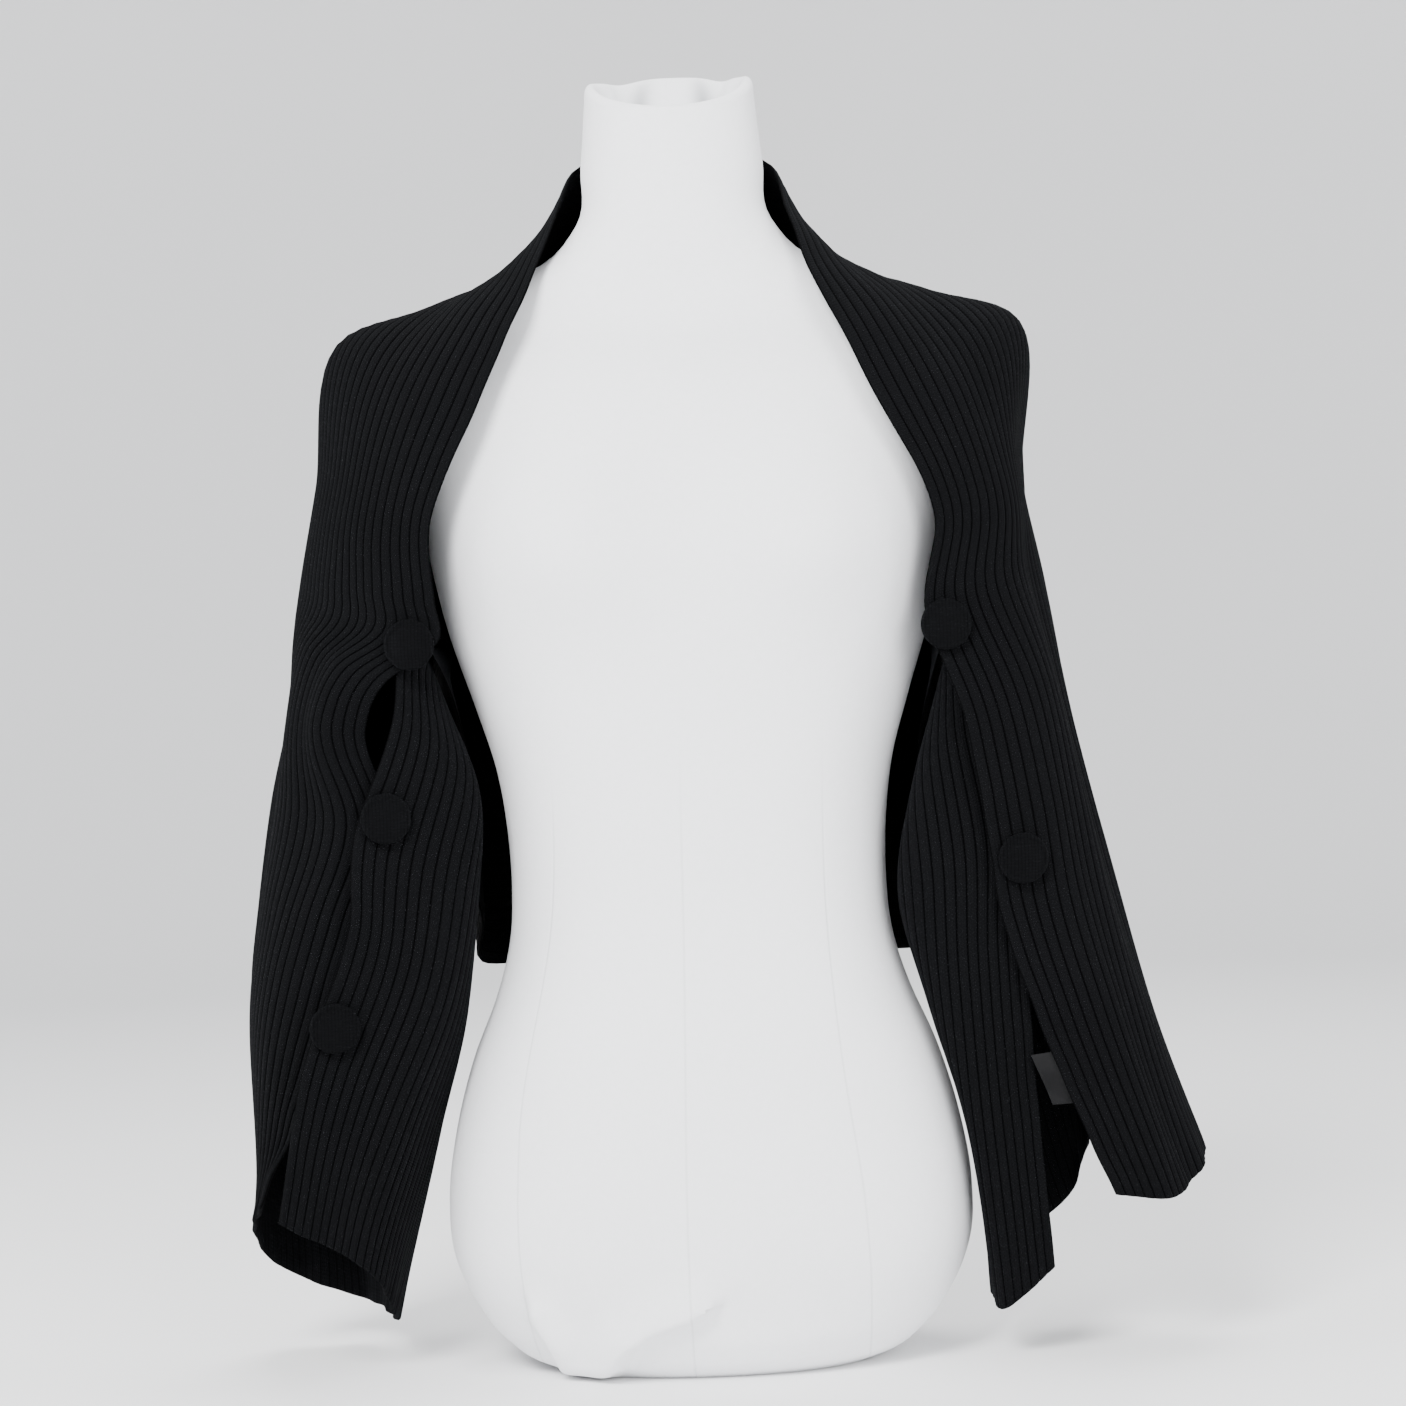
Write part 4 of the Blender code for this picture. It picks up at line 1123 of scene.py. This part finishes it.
# %% Turn the buttons
Turn = namedtuple("Turn", "radius height")
BUTTON_PROFILE = (
    Turn(0.0045, 0.0000),
    Turn(0.0045, 0.0010),
    Turn(0.0060, 0.0014),
    Turn(0.0128, 0.0016),
    Turn(0.0147, 0.0022),
    Turn(0.0152, 0.0032),
    Turn(0.0149, 0.0044),
    Turn(0.0137, 0.0052),
    Turn(0.0122, 0.0051),
    Turn(0.0112, 0.0052),
    Turn(0.0085, 0.0060),
    Turn(0.0050, 0.0066),
    Turn(0.0015, 0.0068),
)
BUTTON_SIDES = 72
BUTTON_ROWS = 46
BUTTON_RADIUS = 0.0152
BUTTON_CLEAR = 0.0010
BUTTON_DENT = 0.00012


def covered_button(name, node):
    """The profile's curve, turned round the solid's thin axis and set on its foot."""
    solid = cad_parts[node].data
    corners = np.empty(len(solid.vertices) * 3, np.float32)
    solid.vertices.foreach_get("co", corners)
    corners = np.unique(corners.reshape(-1, 3).round(6), axis=0).astype(float)
    centre = corners.mean(axis=0)
    spread, directions = np.linalg.eigh(np.cov((corners - centre).T))
    axis = directions[:, 0] * (-1 if directions[1, 0] > 0 else 1)
    reach = (corners - centre) @ axis
    foot = centre + axis * (reach.min() + BUTTON_CLEAR)
    side = np.cross([0, 0, 1.0], axis)
    side /= np.linalg.norm(side)
    up = np.cross(axis, side)
    turns = np.array(BUTTON_PROFILE)
    turns = through(np.arange(len(turns)), turns, np.linspace(0, len(turns) - 1, BUTTON_ROWS))
    stretch = (reach.max() - reach.min()) / turns[-1, 1]
    angle = np.linspace(0, 2 * pi, BUTTON_SIDES, endpoint=False)[None, :]
    radius, high = turns[:, :1], turns[:, 1:] * stretch
    x, y = radius * np.cos(angle), radius * np.sin(angle)
    dent = BUTTON_DENT * np.sin(3 * angle + 0.6) * (radius / BUTTON_RADIUS) ** 2 * (high > 0.003)
    grid = foot + x[:, :, None] * side + y[:, :, None] * up + (high + dent)[:, :, None] * axis
    rows = len(grid)
    points = np.concatenate([grid.reshape(-1, 3), [foot], [grid[-1].mean(axis=0) + axis * 0.00002]])
    faces = quads(rows, BUTTON_SIDES, closed=True).tolist()
    low = rows * BUTTON_SIDES
    faces += fan(0, BUTTON_SIDES, low, below=True)
    faces += fan(low - BUTTON_SIDES, BUTTON_SIDES, low + 1)
    flat = np.concatenate([np.stack([x, y], axis=2).reshape(-1, 2), [[0, 0]], [[0, 0]]])
    piece = make_piece(name, points, faces, button_knit, flat=flat)
    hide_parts(node)
    return piece


for node in sorted(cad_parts):
    if node.startswith("button_"):
        covered_button("covered_" + node, node)

# %% [markdown]
# ## The satin tab
#
# A care tab is sewn into the right cuff's edge. It is a bare folded ribbon here. Its two faces
# are grids a little apart, joined round the edge, and it follows the cloth it is sewn to.

# %% Sew in the tab
TAB_START = 0.690
TAB_LENGTH = 0.036
TAB_WIDTH = 0.018
TAB_THICKNESS = 0.0007
TAB_UNDER = 0.0021
TAB_CURL = 0.0009
TAB_LEAN = 0.004
TAB_ROWS = 31
TAB_COLUMNS = 19


def satin_tab():
    """From inside the edge outwards: the edge's own line, moved out across it and bent a little in."""
    along = np.linspace(TAB_START, TAB_START + TAB_LENGTH, TAB_ROWS)
    middle, normal = cloth_layers(along, np.linspace(0.002, 0.022, 3))
    outward = middle[:, 0] - middle[:, 1]
    outward /= np.linalg.norm(outward, axis=1, keepdims=True)
    inside = middle[:, 1] - normal[:, 1] * TAB_UNDER
    share = np.linspace(0, 1, TAB_COLUMNS)[None, :, None]
    swell = np.sin(np.linspace(0, pi, TAB_ROWS))[:, None, None]
    curl = TAB_CURL * np.sin(share * pi * 1.4) * swell
    reach = outward[:, None] * (TAB_WIDTH * share - 0.001)
    front = inside[:, None] + reach - normal[:, 1][:, None] * (TAB_LEAN * share - curl)
    rear = front - normal[:, 1][:, None] * TAB_THICKNESS
    long, wide = front.shape[:2]
    points = np.concatenate([front.reshape(-1, 3), rear.reshape(-1, 3)])
    first = long * wide
    faces = quads(long, wide).tolist() + quads(long, wide, first=first)[:, ::-1].tolist()
    ring = np.concatenate([
        np.arange(wide - 1),
        np.arange(long - 1) * wide + wide - 1,
        long * wide - 1 - np.arange(wide - 1),
        (long - 1 - np.arange(long - 1)) * wide,
    ])
    after = np.roll(ring, -1)
    faces += np.stack([after, ring, first + ring, first + after], axis=1).tolist()
    places = np.stack(np.broadcast_arrays(TAB_WIDTH * share[0, :, 0][None, :], along[:, None]), axis=2)
    flat = np.concatenate([places.reshape(-1, 2)] * 2)
    return make_piece("satin_tab", points, faces, satin, flat=flat)


tab = satin_tab()
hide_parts("care_label")

# %% [markdown]
# ## Floor and light
#
# A plain pale bowl is floor and backdrop in one: flat under the form and rising far behind it, so
# no horizon shows from any side. Black cloth needs wide lights that graze it from the sides, so
# that each rib has a lit flank, and white jersey needs little more than the pale surroundings.

# %% The bowl
FLOOR_RADIUS = 3
BOWL_CURVE = 2
BOWL_SIDES = 64
PAINT_DARK = (0.90, 0.90, 0.905)
PAINT_LIGHT = (0.95, 0.95, 0.955)


def studio_bowl():
    """A flat disc that turns up in a quarter circle at its rim: a profile turned round Z."""
    arc = np.linspace(0, pi / 2, 13)
    radius = np.concatenate([[0.5, 1.5], FLOOR_RADIUS + BOWL_CURVE * np.sin(arc)])
    height = np.concatenate([[0.0, 0.0], BOWL_CURVE - BOWL_CURVE * np.cos(arc)])
    angle = np.linspace(0, 2 * pi, BOWL_SIDES, endpoint=False)[None, :]
    grid = np.stack(np.broadcast_arrays(
        radius[:, None] * np.cos(angle), radius[:, None] * np.sin(angle), height[:, None]
    ), axis=2)
    points = np.concatenate([grid.reshape(-1, 3), [[0, 0, 0]]])
    faces = quads(len(radius), BOWL_SIDES, closed=True)[:, ::-1].tolist()
    faces += fan(0, BOWL_SIDES, len(points) - 1)
    mesh = bpy.data.meshes.new("studio_bowl")
    mesh.from_pydata(points.tolist(), [], faces)
    mesh.shade_smooth()
    paint = Finish("pale studio paint", 0.85)
    tone = 0.5 + 0.2 * (paint.noise(3) - 0.5)
    paint.use(Base_Color=paint.colour(tone, PAINT_DARK, PAINT_LIGHT))
    mesh.materials.append(paint.material)
    bowl = bpy.data.objects.new("studio_bowl", mesh)
    bpy.context.scene.collection.objects.link(bowl)
    bowl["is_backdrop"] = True
    return bowl


bowl = studio_bowl()
print("bowl faces:", len(bowl.data.polygons))

# %% The lights
Lamp = namedtuple("Lamp", "name x y z size watts")
LAMPS = (
    Lamp("key", -1.1, -2.6, 2.4, 1.2, 215),
    Lamp("fill", 1.4, -2.6, 1.0, 1.4, 70),
    Lamp("graze_left", -2.4, -0.2, 1.6, 1.0, 24),
    Lamp("graze_right", 2.4, -0.1, 1.6, 1.0, 24),
    Lamp("top", 0.0, 0.9, 2.9, 1.4, 55),
)
LIGHT_AIM = Vector((0, 0, 0.42))
SKY_COLOUR = (0.95, 0.97, 1.0, 1)
SKY_STRENGTH = 0.7
for lamp in LAMPS:
    light = bpy.data.lights.new(lamp.name, "AREA")
    light.size = lamp.size
    light.energy = lamp.watts
    holder = bpy.data.objects.new(lamp.name, light)
    place = Vector((lamp.x, lamp.y, lamp.z))
    turn = (LIGHT_AIM - place).to_track_quat("-Z", "Y")
    holder.matrix_world = Matrix.Translation(place) @ turn.to_matrix().to_4x4()
    bpy.context.scene.collection.objects.link(holder)
world = bpy.data.worlds.new("pale studio")
bpy.context.scene.world = world
world.use_nodes = True
sky = world.node_tree.nodes["Background"]
sky.inputs["Color"].default_value = SKY_COLOUR
sky.inputs["Strength"].default_value = SKY_STRENGTH
print("lamps:", len(LAMPS))

# %% [markdown]
# ## The size of the dressed form
#
# The sizes of the imported and the dressed form are printed; the dressed form has to stay the size of the
# imported one.

# %% Print the sizes
dressed_box = [list(corner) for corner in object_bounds()]
for name, box in (("packed", cad_box), ("dressed", dressed_box)):
    print(name, "size in mm", [round((high - low) * 1000, 1) for low, high in zip(*box)])
